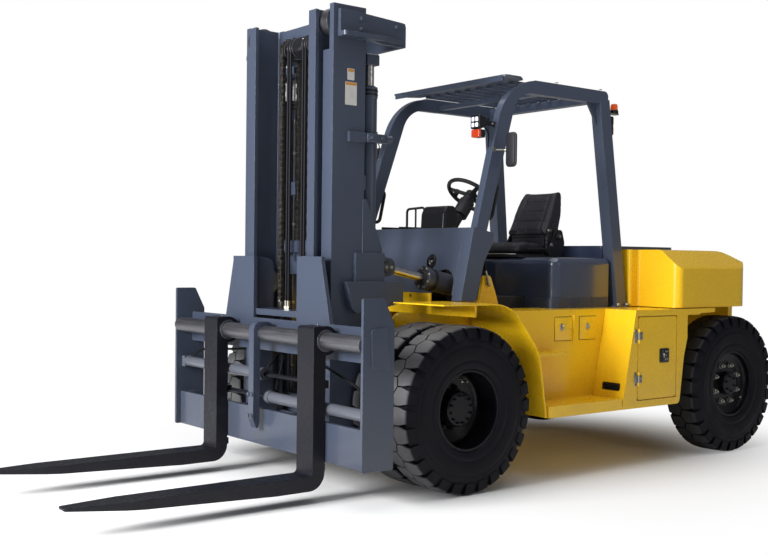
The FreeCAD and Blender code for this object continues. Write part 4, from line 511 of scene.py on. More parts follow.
class Shape:
    """Gathers closed parts and turns them into one piece."""

    def __init__(self):
        self.bm = bmesh.new()

    def add(self, part):
        mesh = bpy.data.meshes.new("part")
        bmesh.ops.recalc_face_normals(part, faces=part.faces)
        part.to_mesh(mesh)
        part.free()
        return self.take(mesh)

    def box(self, low, high, edge=0.0, steps=2):
        """Box with eased edges."""
        part = bmesh.new()
        bmesh.ops.create_cube(part, size=1.0)
        low, high = Vector(low), Vector(high)
        for v in part.verts:
            v.co = Vector([c * s for c, s in zip(v.co, high - low)]) + (low + high) / 2
        if edge:
            bmesh.ops.bevel(part, geom=part.edges[:], offset=edge, segments=steps, profile=0.5, affect="EDGES")
        return self.add(part)

    def prism(self, outline, axis, low, high, edge=0.0, steps=2):
        """Outline in the plane across an axis, drawn out from low to high."""
        part = bmesh.new()
        order = {"X": lambda a, b, c: (c, a, b), "Y": lambda a, b, c: (a, c, b), "Z": lambda a, b, c: (a, b, c)}[axis]
        ends = [[part.verts.new(order(a, b, c)) for a, b in outline] for c in (low, high)]
        part.faces.new(ends[0])
        part.faces.new(list(reversed(ends[1])))
        count = len(outline)
        for i in range(count):
            k = (i + 1) % count
            part.faces.new([ends[0][i], ends[1][i], ends[1][k], ends[0][k]])
        bmesh.ops.recalc_face_normals(part, faces=part.faces)
        if edge:
            rims = [e for e in part.edges if count < 9 or not {v in ends[0] for v in e.verts} == {True, False}]
            bmesh.ops.bevel(part, geom=rims, offset=edge, segments=steps, profile=0.5, affect="EDGES",
                            clamp_overlap=True)
        return self.add(part)

    def tablet(self, centre, half, b0, b1, radius, low, high, edge=0.0):
        """Rounded plate across the Y axis, as wide each way of a centre."""
        return self.prism(plate(centre - half, centre + half, b0, b1, radius), "Y", low, high, edge)

    def turned(self, profile, centre, axis=(1, 0, 0), steps=48):
        """Profile of (along, radius) pairs turned about an axis; its ends are closed at radius 0 or joined up."""
        part = bmesh.new()
        verts = [part.verts.new((a, r, 0.0)) for a, r in profile]
        edges = [part.edges.new((verts[i], verts[i + 1])) for i in range(len(verts) - 1)]
        if profile[0][1] and profile[-1][1]:
            edges.append(part.edges.new((verts[-1], verts[0])))
        bmesh.ops.spin(part, geom=verts + edges, cent=(0, 0, 0), axis=(1, 0, 0), angle=math.tau, steps=steps,
                       use_merge=True)
        bmesh.ops.remove_doubles(part, verts=part.verts, dist=1e-6)
        turn = Vector((1, 0, 0)).rotation_difference(Vector(axis)).to_matrix().to_4x4()
        bmesh.ops.transform(part, matrix=Matrix.Translation(Vector(centre)) @ turn, verts=part.verts)
        return self.add(part)

    def hoop(self, inner, outer, width, centre, axis=(1, 0, 0), steps=40):
        """Plain ring, or a disc where the inner radius is 0."""
        return self.turned([(0, inner), (0, outer), (width, outer), (width, inner)], centre, axis, steps)

    def rod(self, start, end, radius, edge, steps=20):
        """Round bar between two points, its ends chamfered unless the edge is 0."""
        start, end = Vector(start), Vector(end)
        reach, way = (end - start).length, (end - start).normalized()
        if not edge:
            return self.hoop(0, radius, reach, start, way, steps)
        return self.turned([(0, 0), (0, radius - edge), (edge, radius), (reach - edge, radius),
                            (reach, radius - edge), (reach, 0)], start, way, steps)

    def hexagon(self, start, end, flats):
        """Hexagonal bolt head or nut between two points, with its chamfer."""
        start, end = Vector(start), Vector(end)
        reach = (end - start).length
        radius = flats / math.sqrt(3)
        return self.turned([(0, 0), (0, radius), (reach * 0.82, radius), (reach, radius * 0.84), (reach, 0)],
                           start, (end - start).normalized(), 6)

    def line(self, points, radius, kind="NURBS"):
        """Round bar or hose along a smooth line of points."""
        curve = bpy.data.curves.new("line", "CURVE")
        curve.dimensions = "3D"
        curve.bevel_depth = radius
        curve.bevel_resolution = 4
        curve.resolution_u = 8
        curve.use_fill_caps = True
        run = curve.splines.new(kind)
        run.points.add(len(points) - 1)
        for spot, place in zip(run.points, points):
            spot.co = (*place, 1.0)
        if kind == "NURBS":
            run.order_u = min(3, len(points))
            run.use_endpoint_u = True
        bar = temporary(curve)
        mesh = settle(bar)
        discard(bar)
        return self.take(mesh)

    def take(self, mesh):
        """Adds a plain mesh, which is used up."""
        self.bm.from_mesh(mesh)
        bpy.data.meshes.remove(mesh)
        return self

    def mesh(self, name="part"):
        bmesh.ops.remove_doubles(self.bm, verts=self.bm.verts, dist=1e-6)
        bmesh.ops.recalc_face_normals(self.bm, faces=self.bm.faces)
        mesh = bpy.data.meshes.new(name)
        self.bm.to_mesh(mesh)
        self.bm.free()
        return mesh

    def piece(self, name, body, material, smooth=35.0, replaces=(), slot=None):
        return put(name, self.mesh(name), body, material, smooth, replaces)


# ---- repeats -----------------------------------------------------------------------------------


class Repeat(Tree):
    """A geometry tree that lays out copies of an item."""

    def __init__(self, name, inputs):
        self.tree = bpy.data.node_groups.new(name, "GeometryNodeTree")
        face = self.tree.interface
        face.new_socket("Geometry", in_out="INPUT", socket_type="NodeSocketGeometry")
        for label, kind in inputs.items():
            face.new_socket(label, in_out="INPUT", socket_type="NodeSocket" + kind)
        face.new_socket("Geometry", in_out="OUTPUT", socket_type="NodeSocketGeometry")
        self.start = self.tree.nodes.new("NodeGroupInput")

    def given(self, label):
        return Value(self, self.start.outputs[label])

    def copies(self, points, turn):
        """Instances the item on the points, makes them real and gives them their material."""
        item = self.node("GeometryNodeObjectInfo", {"transform_space": "ORIGINAL"}, Object=self.given("Item"),
                         out="Geometry")
        laid = self.node("GeometryNodeInstanceOnPoints", {}, Points=points, Instance=item, Rotation=turn)
        real = self.node("GeometryNodeRealizeInstances", {}, laid)
        return self.node("GeometryNodeSetMaterial", {}, real, Material=self.given("Finish"))

    def close(self, geometry):
        self.node("NodeGroupOutput", {}, geometry)
        return self.tree


def ring_tree():
    """Copies of an item turned round the X axis through a centre."""
    r = Repeat("Ring of items", {"Item": "Object", "Count": "Int", "Phase": "Float", "Centre": "Vector",
                                 "Finish": "Material"})
    points = r.node("GeometryNodePoints", {}, r.given("Count"))
    step = r.node("ShaderNodeMath", {"operation": "DIVIDE"}, math.tau, r.given("Count"))
    angle = r.node("GeometryNodeInputIndex", {}).math("MULTIPLY_ADD", step, r.given("Phase"))
    turn = r.node("FunctionNodeEulerToRotation", {}, r.node("ShaderNodeCombineXYZ", {}, angle))
    return r.close(r.node("GeometryNodeTransform", {}, r.copies(points, turn), Translation=r.given("Centre")))


def row_tree():
    """Copies of an item in a straight row."""
    r = Repeat("Row of items", {"Item": "Object", "Count": "Int", "Start": "Vector", "Step": "Vector",
                                "Finish": "Material"})
    line = r.node("GeometryNodeMeshLine", {"mode": "OFFSET"}, r.given("Count"), Start_Location=r.given("Start"),
                  Offset=r.given("Step"))
    return r.close(r.copies(line, (0.0, 0.0, 0.0)))


def spots_tree():
    """Copies of an item on a mesh's points, each turned by the point's own attribute."""
    r = Repeat("Items on points", {"Item": "Object", "Finish": "Material"})
    own = r.node("GeometryNodeInputNamedAttribute", {"data_type": "FLOAT_VECTOR"}, "turn", out="Attribute")
    return r.close(r.copies(r.given("Geometry"), r.node("FunctionNodeEulerToRotation", {}, own)))


trees = {}


def repeated(kind, item, material, host=None, **inputs):
    """Runs one of the trees on an item mesh and returns the plain mesh."""
    if kind not in trees:
        trees[kind] = {"ring": ring_tree, "row": row_tree, "spots": spots_tree}[kind]()
    tool = temporary(item)
    tool.hide_render = True
    carrier = temporary(host or bpy.data.meshes.new("carrier"))
    modifier = carrier.modifiers.new("Repeat", "NODES")
    modifier.node_group = trees[kind]
    values = {"Item": tool, "Finish": finish(material), **inputs}
    for socket in trees[kind].interface.items_tree:
        if socket.item_type == "SOCKET" and socket.in_out == "INPUT" and socket.name in values:
            modifier[socket.identifier] = values[socket.name]
    mesh = settle(carrier)
    discard(carrier)
    discard(tool)
    return mesh


def fasten(name, body, spots, material="zinc", size=None, round_head=False):
    """Bolts on a body: each spot is a place and the direction its head points."""
    flats = size or sizes().bolt_head
    head = Shape()
    head.turned([(0, 0), (0, flats * 0.72), (flats * 0.1, flats * 0.72), (flats * 0.1, 0)], (0, 0, 0), (0, 0, 1), 16)
    if round_head:
        head.turned([(0, 0), (0, flats * 0.55), (flats * 0.2, flats * 0.5), (flats * 0.34, flats * 0.25),
                     (flats * 0.36, 0)], (0, 0, 0), (0, 0, 1), 14)
    else:
        head.hexagon((0, 0, flats * 0.08), (0, 0, flats * 0.62), flats)
    host = bpy.data.meshes.new("spots")
    host.from_pydata([place for place, way in spots], [], [])
    turns = host.attributes.new("turn", "FLOAT_VECTOR", "POINT")
    for entry, (_, way) in zip(turns.data, spots):
        entry.vector = Vector((0, 0, 1)).rotation_difference(Vector(way)).to_euler()
    return put(name, repeated("spots", head.mesh(), material, host), body, material, 30)


hose_places = (0.104, 0.074, -0.074, -0.104)
mast_stages = {"front": ("inner_mast", "carriage"), "rear": ("mast", "inner_mast")}


def lay_run(name, mesh, run, node, foot, smooth, material):
    """A run between two stages of the mast: laid where its CAD node was, on no body, and the node hidden."""
    first, second = mast_stages[run]
    low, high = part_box(node)
    y = (low.y + high.y) / 2
    piece = put(name, mesh, None, material, smooth)
    base, top = Vector((0, y, low.z + foot)), Vector((0, y, high.z))
    start, end = (top, base) if run == "front" else (base, top)
    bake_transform(piece)
    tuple(start)
    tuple(end)
    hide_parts(node)


# ---- operators ---------------------------------------------------------------------------------


class Step:
    """A step that is done once it has built its pieces."""

    def execute(self, context):
        self.build()
        return {"FINISHED"}


def both(build):
    """Runs a builder for the left and the right side."""
    for side, sign in (("left", 1), ("right", -1)):
        build(side, sign)


class FORKLIFT_OT_stage(Step, bpy.types.Operator):
    """Makes the camera, the lights, the pale floor and the white surroundings"""

    bl_idname = "forklift.stage"
    bl_label = "Studio and camera"

    def build(self):
        scene = bpy.context.scene
        scene.view_settings.view_transform = "Standard"
        camera = bpy.data.cameras.new("Camera")
        camera.lens = 50.48
        camera.sensor_width = 36.0
        camera.shift_x = 0.0040
        camera.shift_y = 0.0036
        camera.clip_end = 100.0
        eye = bpy.data.objects.new("Camera", camera)
        scene.collection.objects.link(eye)
        yaw, pitch, roll = (math.radians(a) for a in (52.13, -1.09, 0.68))
        ahead = Vector((-math.sin(yaw) * math.cos(pitch), math.cos(yaw) * math.cos(pitch), math.sin(pitch)))
        across = Vector((math.cos(yaw), math.sin(yaw), 0.0))
        over = across.cross(ahead)
        right = across * math.cos(roll) + over * math.sin(roll)
        up = over * math.cos(roll) - across * math.sin(roll)
        turn = Matrix((right, up, -ahead)).transposed()
        eye.matrix_world = Matrix.Translation((5.98727, -5.03307, 1.46023)) @ turn.to_4x4()
        scene.camera = eye
        self.lights(scene)
        self.floor(scene)
        self.surroundings(scene)

    def lights(self, scene):
        """Soft boxes: a key ahead of the forks, one overhead, a weak one at the side."""
        boxes = (
            ("Key", (0.4, -8.8, 3.6), (0.0, -0.6, 1.2), 3.6, 3.2, 1180.0),
            ("Overhead", (0.4, -0.4, 6.6), (0.0, 0.0, 0.0), 6.5, 7.5, 240.0),
            ("Side", (8.6, 2.4, 3.2), (0.6, 0.6, 1.0), 3.0, 2.6, 20.0),
        )
        for name, place, aim, width, height, power in boxes:
            data = bpy.data.lights.new(name, "AREA")
            data.shape = "RECTANGLE"
            data.size = width
            data.size_y = height
            data.energy = power
            lamp = bpy.data.objects.new(name, data)
            lamp.location = place
            lamp.rotation_euler = (Vector(aim) - Vector(place)).to_track_quat("-Z", "Y").to_euler()
            scene.collection.objects.link(lamp)

    def floor(self, scene):
        """Pale floor that keeps the shadow near the truck and fades to white round it."""
        f = Finish("Studio floor")
        flat = f.node("ShaderNodeMapping", {}, f.place, Scale=(0.62, 0.42, 0.0))
        away = f.node("ShaderNodeVectorMath", {"operation": "LENGTH"}, flat, out="Value")
        seen, through = f.rays()
        pale = f.node("ShaderNodeBsdfDiffuse", {}, (0.95, 0.95, 0.95))
        white = f.node("ShaderNodeEmission", {}, (1.0, 1.0, 1.0), 1.0)
        fade = away.band(0.85, 1.7) * (seen + through).math("MINIMUM", 1.0)
        shader = f.node("ShaderNodeMixShader", {}, fade, pale, white)
        f.node("ShaderNodeOutputMaterial", {}, shader)
        sheet = bmesh.new()
        bmesh.ops.create_circle(sheet, cap_ends=True, radius=30.0, segments=96)
        mesh = bpy.data.meshes.new("Studio floor")
        sheet.to_mesh(mesh)
        sheet.free()
        mesh.materials.append(f.material)
        ground = bpy.data.objects.new("Studio_floor", mesh)
        scene.collection.objects.link(ground)

    def surroundings(self, scene):
        """Soft grey-white light all round, white where it is seen."""
        f = Finish("Studio", bpy.data.worlds.new("Studio"))
        seen, through = f.rays()
        soft = f.node("ShaderNodeBackground", {}, (0.92, 0.95, 1.0), 0.2)
        white = f.node("ShaderNodeBackground", {}, (1.0, 1.0, 1.0), 1.0)
        shader = f.node("ShaderNodeMixShader", {}, seen.math("MAXIMUM", through), soft, white)
        f.node("ShaderNodeOutputWorld", {}, shader)
        scene.world = f.material


class FORKLIFT_OT_finish_frame(Step, bpy.types.Operator):
    """Gives every carried-over part its finish"""

    bl_idname = "forklift.finish_frame"
    bl_label = "Finish the frame"

    coats = {
        "body": ["counterweight", "side_tanks", "rear_side_covers", "side_door_left", "side_door_right",
                 "chassis_frame", "front_fenders"],
        "mast": ["outer_mast", "inner_mast", "carriage_frame", "shaft_hanger", "lift_barrels"],
        "guard": ["overhead_guard", "guard_roof", "front_cowl"],
        "barrel": ["tilt_barrel_left", "tilt_barrel_right"],
        "positioner": ["positioner_barrels"],
        "hood": ["hood", "controller_cabinet"],
        "mat": ["floor_plate"],
        "axle": ["drive_axle", "steer_axle", "knuckle_left", "knuckle_right"],
        "rim": ["drive_wheel_left", "drive_wheel_right", "steer_wheel_left", "steer_wheel_right"],
        "fork": ["fork_left", "fork_right", "drawbar_pin"],
        "shaft": ["fork_shaft"],
        "roller": ["chain_wheels", "carriage_rollers", "mast_rollers"],
        "chrome": ["lift_rods"],
        "tilt_rod": ["tilt_rod_left", "tilt_rod_right"],
        "battery": ["battery_pack"],
        "grip": ["steering_wheel", "hand_rails"],
        "plastic": ["steering_column", "controls", "seat_base"],
    }

    def build(self):
        for coat, nodes in self.coats.items():
            for name in nodes:
                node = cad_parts[name]
                for slot in node.material_slots:
                    slot.material = finish(coat)


class FORKLIFT_OT_tyres(Step, bpy.types.Operator):
    """Moulds the tyres: a ribbed carcass and a ring of interlocking tread blocks"""

    bl_idname = "forklift.tyres"
    bl_label = "Tyres"

    drive_places, steer_place = (0.959, 0.664), 0.968
    end_bow, middle_bow = 0.014, -0.012

    def carcass(self, shape, x, centre, radius):
        groove = sizes().groove
        half = [(0.107, 0.2545), (0.118, 0.262), (0.1245, 0.285), (0.127, 0.306), (0.1245, 0.314), (0.1265, 0.322),
                (0.130, 0.35), (0.131, 0.385), (0.131, 0.402), (0.1275, 0.409), (0.1285, 0.425), (0.1255, 0.443),
                (0.119, 0.465), (0.111, 0.485), (0.104, radius - groove)]
        profile = half + [(-v, r) for v, r in reversed(half)]
        shape.turned(profile, (x, centre.y, centre.z), (1, 0, 0), 96)

    def lug(self, part, x, radius, pitch, sign, start):
        """One block: a zigzag inner end, a crowned top and a shoulder that runs down the wall."""
        groove = sizes().groove
        columns = [
            (0.004, radius, 0.004, radius - groove, 0.004),
            (0.055, radius, 0.055, radius - groove, 0.005),
            (0.078, radius - 0.001, 0.078, radius - groove, 0.009),
            (0.108, radius - 0.004, 0.1, radius - groove - 0.004, 0.017),
            (0.1215, radius - 0.014, 0.106, radius - 0.036, 0.018),
            (0.1285, radius - 0.046, 0.117, radius - 0.06, 0.019),
            (0.1305, radius - 0.074, 0.124, radius - 0.08, 0.024),
        ]
        rows = []
        for k, (v, r, base_v, base_r, gap) in enumerate(columns):
            row = []
            for a, b in ((v, r), (base_v, base_r)):
                for u, bow in ((-1, self.end_bow), (0, self.middle_bow), (1, self.end_bow)):
                    turn = (start + u * (pitch / 2 - gap)) / radius
                    reach = a + (bow if k == 0 else 0.0)
                    row.append(part.verts.new((x + sign * reach, b * math.sin(turn), b * math.cos(turn))))
            rows.append(row)
        for near, far in zip(rows, rows[1:]):
            for i in (0, 1):
                part.faces.new([near[i], near[i + 1], far[i + 1], far[i]])
                part.faces.new([near[i + 3], far[i + 3], far[i + 4], near[i + 4]])
            part.faces.new([near[0], far[0], far[3], near[3]])
            part.faces.new([near[2], near[5], far[5], far[2]])
        for row in (rows[0], rows[-1]):
            for i in (0, 1):
                part.faces.new([row[i], row[i + 3], row[i + 4], row[i + 1]])

    def tyre_set(self, node, body, offsets, material):
        centre = middle(node)
        low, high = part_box(node)
        radius = (high.z - low.z) / 2
        count = sizes().lug_count
        pitch = math.tau * radius / count
        shape = Shape()
        for x in offsets:
            self.carcass(shape, x, centre, radius)
        cell = bmesh.new()
        for x in offsets:
            self.lug(cell, x, radius, pitch, 1, 0.0)
            self.lug(cell, x, radius, pitch, -1, pitch / 2)
        bmesh.ops.recalc_face_normals(cell, faces=cell.faces)
        item = bpy.data.meshes.new("lugs")
        cell.to_mesh(item)
        cell.free()
        tread = repeated("ring", item, material, Count=count, Phase=0.0, Centre=(0.0, centre.y, centre.z))
        shape.take(tread)
        shape.piece(node.capitalize(), body, material, 28, replaces=[node], slot="tyre")

    def build(self):
        def side(name, sign):
            drive = [sign * x for x in self.drive_places]
            self.tyre_set("drive_tyres_" + name, "drive_wheel_" + name, drive, "front_tyre")
            self.tyre_set("steer_tyre_" + name, "steer_wheel_" + name, [sign * self.steer_place], "rear_tyre")
        both(side)


class FORKLIFT_OT_wheel_fittings(Step, bpy.types.Operator):
    """Adds wheel nuts, lock rings, hub bolts and valves"""

    bl_idname = "forklift.wheel_fittings"
    bl_label = "Wheel nuts and rings"

    valve_reach = 0.2

    def nuts(self, name, body, centre, x, sign, radius, count, flats, material, phase):
        item = Shape()
        item.hoop(0, flats * 0.66, 0.004, (x, 0, radius), (sign, 0, 0), 16)
        item.hexagon((x + sign * 0.004, 0, radius), (x + sign * (0.004 + flats * 0.62), 0, radius), flats)
        item.rod((x + sign * 0.01, 0, radius), (x + sign * (0.012 + flats * 0.8), 0, radius), flats * 0.3, 0.002, 10)
        mesh = repeated("ring", item.mesh(), material, Count=count, Phase=phase, Centre=(0.0, centre.y, centre.z))
        put(name, mesh, body, material, 30)

    def ring(self, name, body, centre, x, sign):
        """Lock ring of the rim, a lip inside the tyre."""
        outline = [(0, 0.2535), (0.016, 0.2535), (0.02, 0.249), (0.018, 0.243), (0.004, 0.2385), (0, 0.2385)]
        Shape().turned(outline, (x, centre.y, centre.z), (sign, 0, 0), 96).piece(name, body, "rim", 40)

    def valve(self, name, body, centre, x, sign, angle):
        y, z = centre.y + self.valve_reach * math.sin(angle), centre.z + self.valve_reach * math.cos(angle)
        shape = Shape()
        shape.rod((x - sign * 0.02, y, z), (x + sign * 0.03, y, z), 0.006, 0.001, 12)
        shape.rod((x + sign * 0.028, y, z), (x + sign * 0.046, y, z), 0.0085, 0.002, 12)
        near, far = sorted((x, x + sign * 0.006))
        shape.box((near, y - 0.016, z - 0.012), (far, y + 0.016, z + 0.012), 0.002)
        shape.piece(name, body, "zinc", 30)

    def build(self):
        size = sizes().nut_size

        def side(name, sign):
            drive, steer = "drive_wheel_" + name, "steer_wheel_" + name
            for label, wheel, x, radius, count, flats, coat, phase in (
                    ("Drive_nuts_", drive, 0.859, 0.134, 10, size * 0.85, "rim", 0.2),
                    ("Hub_bolts_", drive, 0.991, 0.088, 12, size * 0.45, "rim", 0.2),
                    ("Steer_nuts_", steer, 1.012, 0.148, 8, size, "zinc", math.pi / 8),
                    ("Cap_bolts_", steer, 1.064, 0.058, 6, size * 0.36, "rim", 0.2)):
                self.nuts(label + name, wheel, middle(wheel), sign * x, sign, radius, count, flats, coat, phase)
            for label, wheel, x in (("Drive_lock_ring_", drive, 1.047), ("Steer_lock_ring_", steer, 1.056)):
                self.ring(label + name, wheel, middle(wheel), sign * x, sign)
            for label, wheel, x, angle in (("Drive_valve_", drive, 0.872, 0.65 * sign),
                                           ("Steer_valve_", steer, 1.004, 2.2)):
                self.valve(label + name, wheel, middle(wheel), sign * x, sign, angle)
        both(side)


class FORKLIFT_OT_lift_chains(Step, bpy.types.Operator):
    """Lays the leaf chains in their runs and round their wheels"""

    bl_idname = "forklift.lift_chains"
    bl_label = "Lift chains"

    inner = (-0.0126, -0.0042, 0.0042, 0.0126)
    outer = (-0.0168, -0.0084, 0.0, 0.0084, 0.0168)
    chain_half, plate_half = 0.016, 0.0019
    pin_half, pin_radius = 0.0205, 0.0055
    wrap_rows = 6

    def links(self, plates, low, high, x, y):
        """Plates of one row between two pins, at the given places across the chain."""
        depth = sizes().chain_plate / 2
        shape = Shape()
        ends = [(depth * math.sin(a), high + depth * math.cos(a)) for a in
                (math.radians(d) for d in (-90, -45, 0, 45, 90))]
        ends += [(depth * math.sin(a), low + depth * math.cos(a)) for a in
                 (math.radians(d) for d in (90, 135, 180, 225, 270))]
        for place in plates:
            outline = [(y + a, b) for a, b in ends]
            shape.prism(outline, "X", x + place - self.plate_half, x + place + self.plate_half)
        return shape

    def pin(self, shape, x, y, z):
        """Pin across a chain."""
        shape.rod((x - self.pin_half, y, z), (x + self.pin_half, y, z), self.pin_radius, 0.001, 10)

    def build(self):
        pitch = sizes().chain_pitch
        for run in mast_stages:
            node = "chains_" + run
            low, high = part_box(node)
            y = (low.y + high.y) / 2
            cells = int((high.z - low.z) / (2 * pitch))
            step = (high.z - low.z) / cells
            whole = Shape()
            for x in (high.x - self.chain_half, low.x + self.chain_half):
                item = self.links(self.inner, 0.0, step / 2, x, y)
                item.take(self.links(self.outer, step / 2, step, x, y).mesh())
                for z in (0.0, step / 2):
                    self.pin(item, x, y, z)
                whole.take(repeated("row", item.mesh(), "chain", Count=cells, Start=(0.0, 0.0, low.z),
                                    Step=(0.0, 0.0, step)))
            lay_run("Chain_run_" + run, whole.mesh("chain"), run, node, 0.03, 30, "chain")
        self.wraps()
        self.anchors()

    def wraps(self):
        """Half turns of chain over the wheels."""
        front, rear = middle("chains_front").y, middle("chains_rear").y
        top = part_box("chains_front")[1].z
        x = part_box("chains_front")[1].x - self.chain_half
        radius = (rear - front) / 2
        count = self.wrap_rows
        shape = Shape()
        for sign in (1, -1):
            for i in range(count):
                angle = math.pi * (i + 0.5) / count
                half = radius * math.tan(math.pi / count / 2)
                row = self.links(self.inner if i % 2 else self.outer, -half, half, sign * x, 0.0)
                self.pin(row, sign * x, 0, half)
                turn = Matrix.Rotation(angle, 4, "X").inverted()
                move = Matrix.Translation((0, front + radius - radius * math.cos(angle),
                                           top + radius * math.sin(angle)))
                bmesh.ops.transform(row.bm, matrix=move @ turn, verts=row.bm.verts)
                shape.add(row.bm)
        shape.piece("Chain_wraps", "inner_mast", "chain", 30)

    def anchors(self):
        """Threaded anchor ends with their nuts, under the beam and on the outer mast."""
        for run, body in (("front", "carriage"), ("rear", "mast")):
            low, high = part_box("chains_" + run)
            y = (low.y + high.y) / 2
            shape = Shape()
            for x in (high.x - self.chain_half, low.x + self.chain_half):
                shape.box((x - 0.021, y - 0.012, low.z + 0.001), (x + 0.021, y + 0.012, low.z + 0.05), 0.004)
                shape.rod((x, y, low.z + 0.02), (x, y, low.z + 0.075), 0.009, 0.001, 16)
                shape.hexagon((x, y, low.z + 0.045), (x, y, low.z + 0.06), 0.026)
            shape.piece("Chain_anchors_" + run, body, "roller", 30)


class FORKLIFT_OT_lift_hoses(Step, bpy.types.Operator):
    """Lays the hoses to the carriage in their runs and over their wheels"""

    bl_idname = "forklift.lift_hoses"
    bl_label = "Lift hoses"

    hose_radius = 0.009

    def build(self):
        for run, (first, second) in mast_stages.items():
            low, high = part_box("hoses_" + run)
            y = (low.y + high.y) / 2
            shape = Shape()
            for x in hose_places:
                steps = [(x, y, low.z + (high.z - low.z) * i / 12) for i in range(13)]
                shape.line(steps, self.hose_radius, "POLY")
            lay_run("Hose_run_" + run, shape.mesh("hose"), run, "hoses_" + run, 0.05, 40, "hose")
            ends = Shape()
            for x in hose_places:
                ends.rod((x, y, low.z - 0.002), (x, y, low.z + 0.055), 0.0115, 0.001, 14)
                ends.hexagon((x, y, low.z + 0.004), (x, y, low.z + 0.02), 0.028)
            ends.piece("Hose_ends_" + run, second if run == "front" else first, "zinc", 30)
        front, rear = middle("hoses_front").y, middle("hoses_rear").y
        radius, top = (rear - front) / 2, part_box("hoses_front")[1].z
        wrap = Shape()
        for x in hose_places:
            arc = [(x, front + radius - radius * math.cos(a), top + radius * math.sin(a)) for a in
                   (math.pi * i / 16 for i in range(17))]
            wrap.line(arc, self.hose_radius, "POLY")
        wrap.piece("Hose_wraps", "inner_mast", "hose", 40)


